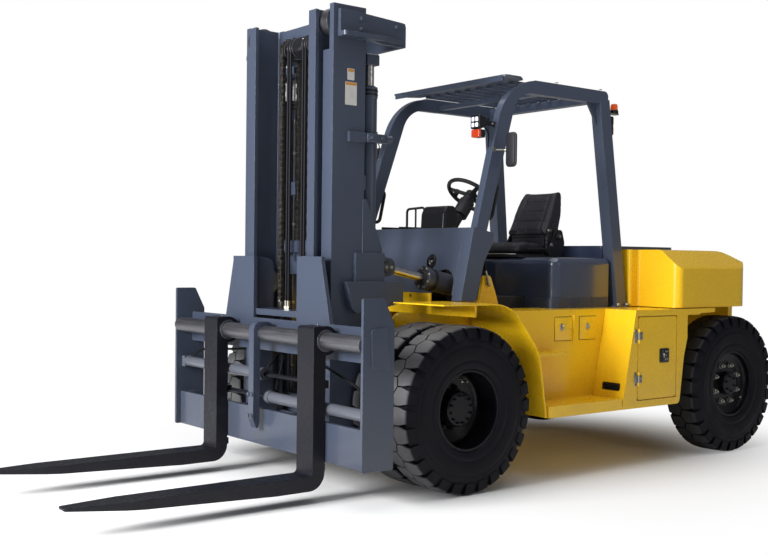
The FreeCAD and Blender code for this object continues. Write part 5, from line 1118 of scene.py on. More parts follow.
class FORKLIFT_OT_seat(Step, bpy.types.Operator):
    """Puffs the seat pads as sewn vinyl over foam and adds their seams"""

    bl_idname = "forklift.seat"
    bl_label = "Seat"

    def puffed(self, base, cap):
        """Remeshes a closed block, lets air swell it as cloth, and caps how far a point may go."""
        block = temporary(base)
        remesh = block.modifiers.new("Remesh", "REMESH")
        remesh.mode = "VOXEL"
        remesh.voxel_size = sizes().voxel
        mesh = settle(block)
        discard(block)
        rest = [v.co.copy() for v in mesh.vertices]
        pad = temporary(mesh)
        cloth = pad.modifiers.new("Cloth", "CLOTH")
        cloth.settings.use_pressure = True
        cloth.settings.uniform_pressure_force = 4.0
        cloth.settings.effector_weights.gravity = 0.0
        cloth.settings.tension_stiffness = 12.0
        cloth.settings.bending_stiffness = 0.6
        cloth.point_cache.frame_end = 20
        for step in range(1, 21):
            bpy.context.scene.frame_set(step)
        swollen = settle(pad)
        pad.modifiers.clear()
        bpy.data.objects.remove(pad)
        bpy.data.meshes.remove(mesh)
        mesh = swollen
        for vert, old in zip(mesh.vertices, rest):
            move = vert.co - old
            if move.length > cap:
                vert.co = old + move.normalized() * cap
        bpy.context.scene.frame_set(1)
        return mesh

    def channel(self, mesh, grooves, depth, width, front):
        """Presses sewn channels into the face that looks along front."""
        for vert in mesh.vertices:
            facing = max(0.0, vert.normal.dot(front))
            push = sum(math.exp(-(offset(vert.co) / width) ** 2) * weight(vert.co) for offset, weight in grooves)
            vert.co -= front * depth * min(1.0, push) * min(1.0, facing * 1.6)

    def smooth(self, name, mesh, node):
        pad = temporary(mesh)
        fine = pad.modifiers.new("Fine", "SUBSURF")
        fine.levels = fine.render_levels = 1
        made = settle(pad)
        discard(pad)
        piece = put(name, made, "hood", "vinyl", 180, replaces=[node])
        return piece

    def build(self):
        self.cushion()
        self.backrest()
        self.trim()

    def cushion(self):
        low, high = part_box("seat_cushion")
        shape = Shape()
        y0, y1, z0, z1 = low.y + 0.012, high.y - 0.012, low.z + 0.004, high.z - 0.014
        shape.prism([(y0, z0), (y1, z0), (y1 - 0.01, z1 - 0.016), (y0 + 0.1, z1), (y0 + 0.02, z1 - 0.014)], "X",
                    low.x + 0.012, high.x - 0.012, 0.026, 3)
        mesh = self.puffed(shape.mesh("cushion"), sizes().seat_swell)
        inside = lambda v: 1.0 if abs(v.x) < 0.145 else 0.0
        grooves = [(lambda v, y=y: v.y - y, inside) for y in (y0 + 0.08, y0 + 0.15, y0 + 0.22)]
        grooves += [(lambda v, x=x: v.x - x, lambda v: 1.0) for x in (-0.15, 0.15)]
        self.channel(mesh, grooves, 0.009, 0.006, Vector((0, 0, 1)))
        for vert in mesh.vertices:
            side = unit((abs(vert.co.x) - 0.15) / 0.05)
            if vert.co.z > z1 - 0.03:
                vert.co.z += 0.008 * side * (1.0 - unit((abs(vert.co.x) - 0.2) / 0.02))
        self.smooth("Seat_cushion_pad", mesh, "seat_cushion")

    def backrest(self):
        """Leaning backrest with side bolsters and a panel sewn across in three channels."""
        low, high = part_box("seat_backrest")
        shape = Shape()
        y, z = low.y, low.z
        outline = curved([(y + 0.018, z + 0.012), (y + 0.015, z + 0.034), (y + 0.062, z + 0.122), (y + 0.11, z + 0.23),
                          (y + 0.17, z + 0.362, 0.03), (y + 0.222, z + 0.36, 0.022), (y + 0.194, z + 0.18),
                          (y + 0.146, z + 0.012)])
        shape.prism(outline, "X", low.x + 0.012, high.x - 0.012)
        mesh = shape.mesh("backrest")
        ahead = Vector((0, -0.908, 0.418))
        up = Vector((0, 0.418, 0.908))
        foot = Vector((0, y + 0.02, z + 0.02))
        mesh = self.puffed(mesh, sizes().seat_swell)
        rise = lambda v: (v - foot).dot(up) / 0.37
        for vert in mesh.vertices:
            vert.co.x *= 1.0 - 0.2 * max(0.0, rise(vert.co) - 0.45) ** 1.6 / 0.55
        panel = lambda v: 1.0 if abs(v.x) < 0.125 - 0.018 * rise(v) else 0.0
        grooves = [(lambda v, at=at: (v - foot).dot(up) - at, panel) for at in (0.115, 0.2, 0.285)]
        grooves += [(lambda v, s=s: v.x - s * (0.132 - 0.018 * rise(v)), lambda v: 1.0 if rise(v) < 0.92 else 0.0)
                    for s in (-1, 1)]
        grooves.append((lambda v: (v - foot).dot(up) - 0.345, panel))
        for vert in mesh.vertices:
            facing = max(0.0, vert.normal.dot(ahead))
            bolster = unit((abs(vert.co.x) - 0.135) / 0.04) * (1 - max(0.0, min(1.0, rise(vert.co) - 0.8) * 5))
            vert.co += ahead * (0.012 * bolster * facing)
        mesh.update()
        self.channel(mesh, grooves, 0.012, 0.0055, ahead)
        self.smooth("Seat_back_pad", mesh, "seat_backrest")

    def trim(self):
        """Moulded back shell, recliner knobs, slide lever and belt buckle."""
        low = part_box("seat_backrest")[0]
        y, z = low.y, low.z
        shell = curved([(y + 0.135, z + 0.03), (y + 0.158, z + 0.02), (y + 0.212, z + 0.18, 0.2),
                        (y + 0.238, z + 0.34, 0.02), (y + 0.2, z + 0.335)])
        Shape().prism(shell, "X", -0.16, 0.16, 0.006).piece("Seat_back_shell", "hood", "plastic", 40)
        boot = Shape()
        for i in range(5):
            foot, inset = z - 0.125 + i * 0.032, 0.006 * (i % 2)
            ring = plate(-0.2 + inset, 0.2 - inset, y + 0.04 + inset, y + 0.15 - inset, 0.02)
            boot.prism(ring, "Z", foot, foot + 0.034, 0.005)
        boot.piece("Seat_back_boot", "hood", "vinyl", 40)
        knobs, bright = Shape(), Shape()
        for sign in (1, -1):
            hub = Vector((sign * 0.2435, y + 0.115, z + 0.006))
            knobs.rod(hub, hub + Vector((sign * 0.022, 0, 0)), 0.026, 0.004, 24)
            bright.rod(hub + Vector((sign * 0.021, 0, 0)), hub + Vector((sign * 0.026, 0, 0)), 0.012, 0.002, 20)
            lever = Vector((sign * 0.2435, y + 0.04, z - 0.06))
            bright.rod(lever, lever + Vector((sign * 0.008, 0, 0)), 0.016, 0.002, 20)
        knobs.box((0.243, y - 0.22, z - 0.1), (0.258, y + 0.01, z - 0.086), 0.004)
        knobs.box((0.229, y, z - 0.04), (0.241, y + 0.05, z + 0.045), 0.005)
        knobs.piece("Seat_knobs", "hood", "grip", 35)
        bright.box((0.231, y + 0.006, z + 0.044), (0.239, y + 0.044, z + 0.062), 0.003)
        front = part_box("seat_cushion")[0].y
        bright.line([(0.19, front + 0.04, z - 0.136), (0.19, front - 0.025, z - 0.134),
                     (-0.19, front - 0.025, z - 0.134), (-0.19, front + 0.04, z - 0.136)], 0.006)
        bright.piece("Seat_levers", "hood", "zinc", 35)


class FORKLIFT_OT_lamps(Step, bpy.types.Operator):
    """Builds the finned headlamps, the signals under them and the two-part tail lamps"""

    bl_idname = "forklift.lamps"
    bl_label = "Lamps"

    def build(self):
        low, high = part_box("lamps")
        x, base = high.x - 0.044, low.z
        housings, diodes, signals, tails, bolts = Shape(), Shape(), Shape(), Shape(), []
        for sign in (1, -1):
            c = sign * x
            y, z = low.y, base + 0.0585
            housings.tablet(c, 0.043, z, z + 0.0955, 0.014, y + 0.003, y + 0.034, 0.003)
            housings.tablet(c, 0.036, z + 0.008, z + 0.088, 0.01, y + 0.03, y + 0.052, 0.002)
            for i in range(6):
                fin = c - 0.033 + i * 0.0132
                housings.box((fin - 0.0016, y + 0.05, z + 0.012), (fin + 0.0016, y + 0.072, z + 0.084), 0.001)
            housings.tablet(c, 0.037, base + 0.002, base + 0.057, 0.008, y + 0.024, y + 0.066, 0.002)
            strap = [(y + 0.06, z + 0.03), (y + 0.23, z + 0.03), (y + 0.23, z + 0.064), (y + 0.06, z + 0.064)]
            housings.prism(strap, "X", c + sign * 0.004 - 0.003, c + sign * 0.004 + 0.003)
            housings.rod((c - 0.03, y + 0.066, z + 0.047), (c + 0.03, y + 0.066, z + 0.047), 0.008, 0.001, 12)
            for across in (-0.0185, 0.0185):
                for up in (0.0275, 0.0665):
                    diodes.tablet(c + across, 0.013, z + up - 0.0145, z + up + 0.0145, 0.006, y + 0.0005, y + 0.006,
                                  0.0015)
            signals.tablet(c, 0.0385, base + 0.002, base + 0.056, 0.009, y + 0.0045, y + 0.026, 0.004)
            rear = high.y
            tails.tablet(c, 0.026, high.z - 0.143, high.z - 0.002, 0.008, rear - 0.034, rear - 0.009, 0.002)
            bolts += [((c, rear - 0.0085, high.z - 0.0735), (0, 1, 0)),
                      ((c + sign * 0.008, y + 0.2, z + 0.047), (sign, 0, 0)),
                      ((c + sign * 0.008, y + 0.16, z + 0.047), (sign, 0, 0))]
        housings.piece("Headlamps", "truck", "gloss", 35, ["lamps"], "lamp_black")
        tails.piece("Tail_lamp_cases", "truck", "gloss", 35, ["lamps"], "lamp_black")
        diodes.piece("Headlamp_diodes", "truck", "diode", 35)
        signals.piece("Signal_lenses", "truck", "signal", 35, slot="signal_amber")
        for name, material, drop in (("Stop_lenses", "red", 0.0665), ("Rear_signal_lenses", "amber", 0.14)):
            lenses, up = Shape(), high.z - drop
            for sign in (1, -1):
                lenses.tablet(sign * x, 0.023, up, up + 0.06, 0.006, high.y - 0.01, high.y - 0.001, 0.003)
            lenses.piece(name, "truck", material, 35)
        fasten("Lamp_bolts", "truck", bolts, "zinc", 0.013)
        leads = Shape()
        for sign in (1, -1):
            c = sign * x
            leads.line([(c, low.y + 0.07, base + 0.1), (c + sign * 0.004, low.y + 0.1, base + 0.07),
                        (c + sign * 0.006, low.y + 0.13, base + 0.03),
                        (c + sign * 0.02, low.y + 0.11, base - 0.06)], 0.0045)
        leads.piece("Lamp_leads", "truck", "hose", 40)


class FORKLIFT_OT_beacon(Step, bpy.types.Operator):
    """Builds the amber beacon: shelf, ringed base and fluted lens"""

    bl_idname = "forklift.beacon"
    bl_label = "Beacon"

    ribs, base_rings = 24, 5

    def build(self):
        low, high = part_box("beacon")
        x, y = (low.x + high.x) / 2, high.y - 0.037
        shelf = curved([(x - 0.028, low.y), (x + 0.028, low.y), (x + 0.028, high.y - 0.001, 0.02),
                        (x - 0.028, high.y - 0.001, 0.02)])
        Shape().prism(shelf, "Z", low.z, low.z + 0.006, 0.001).piece("Beacon_shelf", "truck", "zinc", 35, ["beacon"])
        base = Shape()
        base.turned([(0, 0), (0, 0.0335), (0.006, 0.034), (0.01, 0.0315), (0.026, 0.03), (0.03, 0.0285), (0.03, 0)],
                    (x, y, low.z + 0.006), (0, 0, 1), 40)
        for i in range(self.base_rings):
            base.hoop(0.0285, 0.0325, 0.0018, (x, y, low.z + 0.012 + i * 0.0042), (0, 0, 1))
        base.piece("Beacon_base", "truck", "gloss", 35, ["beacon"], "black_plastic")
        dome = [(0, 0), (0, 0.0265), (0.036, 0.0255), (0.045, 0.0235), (0.0495, 0.0185), (0.052, 0.009), (0.0525, 0)]
        cover = Shape()
        cover.turned(dome, (x, y, low.z + 0.0325), (0, 0, 1), 48)
        for i in range(self.ribs):
            turn = math.tau * i / self.ribs
            c, s = math.cos(turn), math.sin(turn)
            cover.rod((x + 0.0259 * c, y + 0.0259 * s, low.z + 0.036),
                      (x + 0.0252 * c, y + 0.0252 * s, low.z + 0.068), 0.0014, 0, 6)
        cover.piece("Beacon_lens", "truck", "amber", 35, ["beacon"], "signal_amber")


class FORKLIFT_OT_mirrors(Step, bpy.types.Operator):
    """Builds both mirrors: a rounded shell, its glass, a ball joint and the arm"""

    bl_idname = "forklift.mirrors"
    bl_label = "Mirrors"

    def build(self):
        low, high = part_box("mirrors")
        width, y0, y1 = 0.1, high.y - 0.028, high.y
        shells, glass, arms = Shape(), Shape(), Shape()
        for sign in (1, -1):
            inner = sign * (high.x - width)
            a, b = span(sign, high.x, high.x - width)
            for shape, side, end, radius, back, front, edge, steps in (
                    (shells, 0.002, 0.002, 0.03, y0 + 0.009, y1 - 0.003, 0.004, 3),
                    (shells, 0.009, 0.01, 0.028, y0 + 0.001, y0 + 0.012, 0.005, 3),
                    (glass, 0.008, 0.008, 0.025, y1 - 0.004, y1 - 0.0015, 0.0, 2)):
                outline = plate(a + side, b - side, low.z + end, high.z - end, radius)
                shape.prism(outline, "Y", back, front, edge, steps)
            z = (low.z + high.z) / 2
            joint = Vector((inner - sign * 0.004, y1 - 0.014, z))
            foot = Vector((sign * (high.x - width - 0.06), y1 - 0.079, z))
            arms.line([foot, foot.lerp(joint, 0.5) + Vector((0, 0, 0.002)), joint + Vector((sign * 0.012, 0, 0))],
                      0.0055)
            arms.turned([(0, 0), (0.003, 0.009), (0.011, 0.0135), (0.02, 0.012), (0.026, 0.007), (0.027, 0)],
                        joint - Vector((sign * 0.008, 0, 0)), (sign, 0, 0), 24)
            arms.box((foot.x - 0.016, foot.y - 0.014, z - 0.022), (foot.x + 0.016, foot.y + 0.014, z + 0.022), 0.004)
        shells.piece("Mirror_shells", "truck", "plastic", 35, ["mirrors"], "black_plastic")
        glass.piece("Mirror_glass", "truck", "mirror", 35, ["mirrors"])
        arms.piece("Mirror_arms", "truck", "zinc", 35, ["mirrors"])


class FORKLIFT_OT_dash(Step, bpy.types.Operator):
    """Builds the instrument pod with its display, and trims the column, the levers and the pedals"""

    bl_idname = "forklift.dash"
    bl_label = "Dash and controls"

    wheel_centre, column_lean = Vector((0, 0.469, 1.946)), math.radians(37)
    lever_places = [-0.326 + i * 0.02 for i in range(4)]
    lever_foot, lever_head = (0.531, 1.545), (0.551, 1.705)
    pedals_and_halves = ((-0.230, 0.036), (-0.095, 0.043), (0.150, 0.043))
    pedal_top = (0.109, 1.293)
    horn_mouth = Vector((0.298, -0.162, 1.447))

    def pod(self):
        low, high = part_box("instrument_pod")
        y, z, half = low.y, low.z, high.x
        outline = curved([
            (y, z), (y, z + 0.056), (y + 0.1375, z + 0.057, 0.012), (y + 0.145, z + 0.18, 0.06),
            (y + 0.178, z + 0.232, 0.036), (y + 0.256, z + 0.2335, 0.04), (y + 0.287, z + 0.156, 0.012),
            (y + 0.221, z + 0.017, 0.03), (y + 0.187, z + 0.001, 0.02)], 5)
        hull = Shape()
        hull.prism(outline, "X", -half + 0.001, half - 0.001, 0.012, 4)
        hull.prism(curved([(y + 0.262, z + 0.224, 0.004), (y + 0.274, z + 0.216, 0.004), (y + 0.2795, z + 0.196, 0.002),
                           (y + 0.262, z + 0.2)]), "X", -half + 0.022, half - 0.022, 0.002)
        hull.piece("Dash_pod", "truck", "gloss", 35, ["instrument_pod"], "black_plastic")
        top = Vector((0, y + 0.2745, z + 0.192))
        down = Vector((0, 0.0375, -0.0935)).normalized()
        away = Vector((0, 0.0935, 0.0375)).normalized()
        screen, buttons = Shape(), Shape()
        self.tile(screen, top, down, away, 0.075, 0.036, 0.0022)
        for i in range(4):
            for column in (-0.1, 0.1):
                spot = top + Vector((column, 0, 0)) + down * (i * 0.009)
                self.tile(buttons, spot, down, away, 0.009, 0.006, 0.004)
        screen.piece("Dash_display", "truck", "screen", 35)
        buttons.piece("Dash_buttons", "truck", "grip", 35)

    def tile(self, shape, spot, down, away, half, height, thick):
        """Flat tile on a leaning face: its upper edge middle, its lean, its outward way."""
        part = bmesh.new()
        corners = []
        for lift in (-0.001, thick):
            for across, along in ((-half, 0), (half, 0), (half, height), (-half, height)):
                corners.append(part.verts.new(spot + Vector((across, 0, 0)) + down * along + away * lift))
        part.faces.new(corners[:4])
        part.faces.new(corners[4:])
        for i in range(4):
            k = (i + 1) % 4
            part.faces.new([corners[i], corners[k], corners[k + 4], corners[i + 4]])
        bmesh.ops.recalc_face_normals(part, faces=part.faces)
        bmesh.ops.bevel(part, geom=part.edges[:], offset=min(thick * 0.4, 0.002), segments=2, profile=0.5,
                        affect="EDGES")
        shape.add(part)

    def build(self):
        self.pod()
        self.wheel()
        self.levers()
        self.pedals()
        self.horn()

    def wheel(self):
        spot, lean = self.wheel_centre, self.column_lean
        axis = Vector((0, math.sin(lean), math.cos(lean)))
        cap = Shape()
        cap.turned([(0, 0), (0, 0.044), (0.006, 0.043), (0.012, 0.036), (0.0145, 0.02), (0.015, 0)],
                   spot + axis * 0.016, axis, 36)
        cap.turned([(0, 0), (0, 0.05), (0.02, 0.058), (0.05, 0.052), (0.085, 0.043), (0.085, 0)],
                   spot - axis * 0.106, axis, 32)
        cap.piece("Steering_hub_cap", "steering_wheel", "plastic", 35)
        stalks = Shape()
        base = spot - axis * 0.13
        stalks.turned([(0, 0), (0, 0.046), (0.012, 0.05), (0.05, 0.05), (0.062, 0.044), (0.062, 0)],
                      base - axis * 0.03, axis, 32)
        for sign, up in ((1, 0.012), (-1, 0.02)):
            start = base + Vector((sign * 0.03, 0, 0))
            end = base + Vector((sign * 0.15, 0, 0)) + axis * up
            stalks.rod(start, end, 0.0055, 0.001, 12)
            stalks.rod(end, end + (end - start).normalized() * 0.035, 0.0095, 0.003, 14)
        stalks.piece("Column_stalks", "truck", "plastic", 35)

    def levers(self):
        """Boots and knobs of the levers."""
        boots, knobs = Shape(), Shape()
        for x in self.lever_places:
            foot, head = Vector((x, *self.lever_foot)), Vector((x, *self.lever_head))
            way = (head - foot).normalized()
            steps = [(0, 0), (0, 0.0098)]
            for k in range(5):
                steps += [(0.008 + k * 0.012, 0.0098 - k * 0.0006), (0.014 + k * 0.012, 0.0076 - k * 0.0004)]
            boots.turned(steps + [(0.074, 0.006), (0.074, 0)], foot + way * 0.02, way, 20)
            knobs.turned([(0, 0), (0.001, 0.0075), (0.008, 0.0094), (0.022, 0.0094), (0.03, 0.0075), (0.034, 0.003),
                          (0.0345, 0)], head - way * 0.017, way, 20)
        boots.piece("Lever_boots", "truck", "grip", 30)
        knobs.piece("Lever_knobs", "truck", "gloss", 40)

    def pedals(self):
        """Ribbed rubber pads on the pedal plates."""
        pads = Shape()
        down = Vector((0, 0.075, -0.075)).normalized()
        away = Vector((0, 0.707, 0.707))
        for x, half in self.pedals_and_halves:
            top = Vector((x, *self.pedal_top)) + away * 0.0005 + down * 0.006
            self.tile(pads, top, down, away, half, 0.094, 0.005)
            for i in range(6):
                rib = top + away * 0.005 + down * (0.008 + i * 0.0145)
                self.tile(pads, rib, down, away, half - 0.004, 0.006, 0.003)
        pads.piece("Pedal_pads", "truck", "grip", 35)

    def horn(self):
        """Horn in the round hole of the cowl."""
        mouth, back = self.horn_mouth, (0, 1, 0)
        bell = [(0, 0), (0, 0.018), (-0.006, 0.03), (-0.003, 0.044), (0.004, 0.047), (0.012, 0.049), (0.06, 0.049),
                (0.075, 0.034), (0.09, 0.034), (0.09, 0)]
        nut = [(-0.01, 0), (-0.009, 0.007), (-0.004, 0.01), (0.004, 0.011), (0.004, 0)]
        Shape().turned(bell, mouth + Vector((0, 0.004, 0)), back, 48).piece("Horn", "truck", "gloss", 35)
        Shape().turned(nut, mouth, back, 24).piece("Horn_nut", "truck", "zinc", 35)


class FORKLIFT_OT_side_fittings(Step, bpy.types.Operator):
    """Adds the lids, latches, seams and vents of the side walls, and the locks and hinges of the doors. The seams and
    the vents' backs are near-black sheets: painted shadow in the gaps and the slot
    """

    bl_idname = "forklift.side_fittings"
    bl_label = "Side fittings"

    side_wall, door_wall = 0.8, 1.081
    lid_ends_and_hooks = ((0.545, 0.716, 0.609), (0.797, 0.972, 0.88))
    lid_low, lid_high = 0.905, 1.068
    key_spots = ((1.41, 0.815), (1.432, 0.815), (1.41, 0.787), (1.432, 0.76), (1.41, 0.76))
    vent_low, vent_pitch, vent_slope = 0.554, 0.0115, 0.0023
    hinge_heights = (0.631, 0.937)
    hinge_axis = (1.0903, 1.103)

    def build(self):
        def side(name, sign):
            self.lids(name, sign)
            self.door(name, sign)
            self.vent(name, sign)
        both(side)

    def slab(self, shape, sign, wall, low, high, y0, y1, z0, z1, radius=0.004, edge=0.001):
        """Flat plate on a wall: from low to high outward of it."""
        a, b = span(sign, wall + low, wall + high)
        shape.prism(plate(y0, y1, z0, z1, radius), "X", a, b, edge)

    def lids(self, name, sign):
        wall = self.side_wall
        lids, rims, latches, seams = Shape(), Shape(), Shape(), Shape()
        low, high = self.lid_low, self.lid_high
        for y0, y1, hook in self.lid_ends_and_hooks:
            # A near-black sheet just bigger than each lid paints the shadow in the gap round it.
            self.slab(seams, sign, wall, -0.004, 0.0012, y0 - 0.004, y1 + 0.004, low - 0.004, high + 0.004, 0.008)
            self.slab(lids, sign, wall, 0.0, 0.006, y0, y1, low, high, 0.006, 0.002)
            self.slab(latches, sign, wall, 0.005, 0.01, hook - 0.017, hook + 0.017, 0.972, 1.024, 0.012, 0.002)
            latches.rod((sign * (wall + 0.009), hook, 1.0), (sign * (wall + 0.02), hook, 1.0), 0.009, 0.002, 20)
            near, far = span(sign, wall + 0.018, wall + 0.026)
            latches.box((near, hook - 0.004, 0.985), (far, hook + 0.004, 1.015), 0.002)
        self.slab(rims, sign, wall, -0.002, 0.012, 0.729, 0.741, 0.89, 1.085, 0.002, 0.002)
        rims.rod((sign * (wall - 0.002), 0.707, 0.989), (sign * (wall + 0.012), 0.707, 0.989), 0.011, 0.003, 20)
        lids.piece("Access_lids_" + name, "truck", "body", 30)
        rims.piece("Access_strip_" + name, "truck", "body", 30)
        latches.piece("Access_latches_" + name, "truck", "zinc", 30)
        seams.piece("Access_seams_" + name, "truck", "seam", 30)

    def vent(self, name, sign):
        """Louvred insert in the slot of the slanted wall, on a near-black back plate that paints the shade inside the
        slot.
        """
        back, slats = Shape(), Shape()
        a, b = span(sign, 0.871, 1.034)
        back.prism(plate(a, b, 0.548, 0.601, 0.012), "Y", 0.984, 1.0075, 0.001)
        for i in range(4):
            low = self.vent_low + i * self.vent_pitch
            slope = 0.966 + i * self.vent_slope
            blade = [(slope, low), (slope + 0.022, low + 0.007), (slope + 0.022, low + 0.0095), (slope, low + 0.0025)]
            slats.prism(blade, "X", a + 0.002, b - 0.002)
        back.piece("Vent_back_" + name, "truck", "seam", 30)
        slats.piece("Vent_slats_" + name, "truck", "plastic", 30)

    def door(self, name, sign):
        wall, body = self.door_wall, "door_" + name
        lock, keys = Shape(), Shape()
        self.slab(lock, sign, wall, -0.002, 0.006, 1.345, 1.452, 0.735, 0.838, 0.012, 0.002)
        near, far = span(sign, wall + 0.004, wall + 0.016)
        lock.box((near, 1.368, 0.748), (far, 1.392, 0.826), 0.004)
        lock.piece("Door_lock_" + name, body, "gloss", 30)
        for y, z in self.key_spots:
            keys.rod((sign * (wall + 0.004), y, z), (sign * (wall + 0.01), y, z), 0.0075, 0.002, 16)
        near, far = span(sign, wall + 0.005, wall + 0.019)
        keys.box((near, 1.376, 0.772), (far, 1.384, 0.802), 0.002)
        keys.piece("Door_keys_" + name, body, "zinc", 30)
        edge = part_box("side_door_" + name)[0].y
        near, far = span(sign, wall + 0.003, wall + 0.0045)
        pins, fixed, leaf_screws, fixed_screws = Shape(), Shape(), [], []
        for z in self.hinge_heights:
            for dy in (0.014, 0.034):
                for dz in (-0.016, 0.016):
                    leaf_screws.append(((sign * (wall + 0.004), edge + 0.009 + dy, z + dz), (sign, 0, 0)))
            pins.box((near, edge + 0.012, z - 0.0265), (far, edge + 0.0545, z + 0.0265), 0.0005)
            self.barrel(pins, sign, z, -0.0275, 0.0275, 0.0094)
        pins.piece("Door_hinges_" + name, body, "zinc", 30)
        fasten("Door_screws_" + name, body, leaf_screws, "shaft", 0.012, True)
        for z in self.hinge_heights:
            fixed.box((near, 1.0595, z - 0.05), (far, 1.092, z + 0.05), 0.0005)
            for way in (-1, 1):
                self.barrel(fixed, sign, z, way * 0.0288, way * 0.05, 0.0086)
            for dz in (-0.038, 0.038):
                fixed_screws.append(((sign * (wall + 0.004), 1.077, z + dz), (sign, 0, 0)))
        fixed.piece("Hinge_leaves_" + name, "truck", "zinc", 30)
        fasten("Hinge_screws_" + name, "truck", fixed_screws, "shaft", 0.012, True)

    def barrel(self, shape, sign, z, start, end, radius):
        """Length of a hinge's barrel on its axis."""
        x, y = self.hinge_axis
        shape.rod((sign * x, y, z + start), (sign * x, y, z + end), radius, 0.001, 20)


class FORKLIFT_OT_mast_fittings(Step, bpy.types.Operator):
    """Adds plates, bolts, pipes, glands and hoses to the mast and the tilt cylinders"""

    bl_idname = "forklift.mast_fittings"
    bl_label = "Mast fittings"

    rail_face = 0.52
    lift_x, lift_y, lift_top = 0.455, -0.849, 2.56
    tilt_eye, tilt_pin = Vector((0.462, -0.726, 1.41)), Vector((0.462, 0.139, 1.232))
    gland_reach, gland_bolt_ring, band_reaches = 0.35, 0.066, (0.06, 0.38)
    cap_half, cap_rows = 0.0706, (0.02, -0.02)
    feed_place = Vector((0.566, 0.118, 1.291))
    label_places = ((-1.066, -1.012, 2.58, 2.652), (-1.082, -0.992, 2.424, 2.568))
    beam_bolts = ((-0.98, 2.9), (-0.98, 2.965), (-0.7, 2.86), (-0.7, 2.95))
    beam_face, brace_face, clamp_face = 0.5465, -0.908, 0.553
    brace_bolts, brace_heights = (0.3, 0.2, 0.1), (1.945, 1.415)
    clamp_z, clamp_bolts, clip_heights = 2.228, (-0.89, -0.81), (0.7, 1.15, 1.7, 2.2)

    def build(self):
        self.labels()
        self.bolts()
        self.clamp()
        self.pipes()
        self.glands()
        self.tilt()

    def labels(self):
        """Two blank plates with a coloured band on the left rail."""
        plates, bands = Shape(), Shape()
        for y0, y1, z0, z1 in self.label_places:
            plates.prism(plate(y0, y1, z0, z1, 0.004), "X", self.rail_face + 0.0002, self.rail_face + 0.0014)
            bands.prism(plate(y0 + 0.003, y1 - 0.003, z1 - 0.02, z1 - 0.003, 0.003), "X", self.rail_face + 0.0013,
                        self.rail_face + 0.0019)
        plates.piece("Mast_plates", "mast", "label", 30)
        bands.piece("Mast_plate_bands", "mast", "label_band", 30)

    def bolts(self):
        spots = []
        for sign in (1, -1):
            spots += [((sign * self.beam_face, y, z), (sign, 0, 0)) for y, z in self.beam_bolts]
            spots += [((sign * x, self.brace_face, z), (0, 1, 0)) for x in self.brace_bolts for z in self.brace_heights]
            spots += [((sign * self.clamp_face, y, self.clamp_z), (sign, 0, 0)) for y in self.clamp_bolts]
        fasten("Mast_bolts", "mast", spots, "mast")

    def clamp(self):
        """Hose clamp block round the stub behind each outer rail."""
        blocks = Shape()
        for sign in (1, -1):
            a, b = span(sign, 0.508, self.clamp_face)
            blocks.box((a, -0.925, 2.2), (b, -0.765, 2.256), 0.006)
            blocks.rod((sign * 0.53, -0.768, self.clamp_z), (sign * 0.53, -0.725, self.clamp_z), 0.0245, 0.003, 28)
        blocks.piece("Hose_clamps", "mast", "mast", 30)

    def pipes(self):
        """Steel lift pipe across the back of the mast, up each barrel, with clips."""
        pipes, clips = Shape(), Shape()
        y = self.lift_y
        for sign in (1, -1):
            x = sign * self.lift_x
            run = x - sign * 0.07
            rise = [(run, y - 0.02, z) for z in (0.42, 1.2, 2.3, 2.42)]
            pipes.line(rise + [(x - sign * 0.04, y, 2.44)], 0.008)
            for z in self.clip_heights:
                clips.box((run - 0.013, y - 0.033, z - 0.01), (run + 0.013, y - 0.007, z + 0.01), 0.003)
        across = ((-0.385, 0.42), (-0.38, 0.38), (0.0, 0.372), (0.38, 0.38), (0.385, 0.42))
        pipes.line([(x, y - 0.02, z) for x, z in across], 0.009)
        pipes.piece("Lift_pipes", "mast", "pipe", 40)
        clips.piece("Pipe_clips", "mast", "zinc", 30)

    def glands(self):
        """Gland rings and wipers of the lift cylinders."""
        rings, wipers = Shape(), Shape()
        for sign in (1, -1):
            x, y, top = sign * self.lift_x, self.lift_y, self.lift_top
            for up in (0.0, -0.024):
                rings.hoop(0.057, 0.0605, 0.014, (x, y, top - 0.03 + up), (0, 0, 1))
            wipers.turned([(0, 0.0355), (0, 0.05), (0.006, 0.047), (0.011, 0.038), (0.011, 0.0355)],
                          (x, y, top - 0.0005), (0, 0, 1), 40)
        rings.piece("Lift_glands", "mast", "gloss", 30)
        wipers.piece("Lift_wipers", "mast", "grip", 30)

    def tilt(self):
        """Gland bolts, wipers, bands, cap bolts and feeds of the tilt cylinders."""
        axis = (self.tilt_pin - self.tilt_eye).normalized()
        side = Vector((1, 0, 0))
        for name, sign in (("left", 1), ("right", -1)):
            flip = Matrix.Diagonal((sign, 1, 1, 1))
            along = flip.to_3x3() @ axis
            front = flip @ (self.tilt_eye + axis * self.gland_reach)
            up = along.cross(side).normalized()
            spots = []
            for i in range(8):
                turn = math.tau * (i + 0.5) / 8
                spots.append((front + (side * math.cos(turn) + up * math.sin(turn)) * self.gland_bolt_ring, -along))
            barrel = "tilt_barrel_" + name
            fasten("Tilt_gland_bolts_" + name, barrel, spots, "zinc", 0.014)
            wiper = [(-0.012, 0.0295), (-0.012, 0.04), (-0.002, 0.048), (0.0, 0.048), (0.0, 0.0295)]
            Shape().turned(wiper, front, along, 36).piece("Tilt_wiper_" + name, barrel, "grip", 30)
            bands = Shape()
            for reach in self.band_reaches:
                spot = flip @ (self.tilt_eye + axis * (self.gland_reach + reach))
                bands.hoop(0.071, 0.0755, 0.022, spot, along)
            bands.piece("Tilt_bands_" + name, barrel, "gloss", 30)
            caps = []
            for d in (1, -1):
                place = flip @ (self.tilt_eye + Vector((d * self.cap_half, 0, 0)))
                caps += [(place + Vector((0, dy, 0)), (d * sign, 0, 0)) for dy in self.cap_rows]
            fasten("Tilt_cap_bolts_" + name, "tilt_rod_" + name, caps, "zinc", 0.015)
            self.feed(name, sign, flip @ self.feed_place)

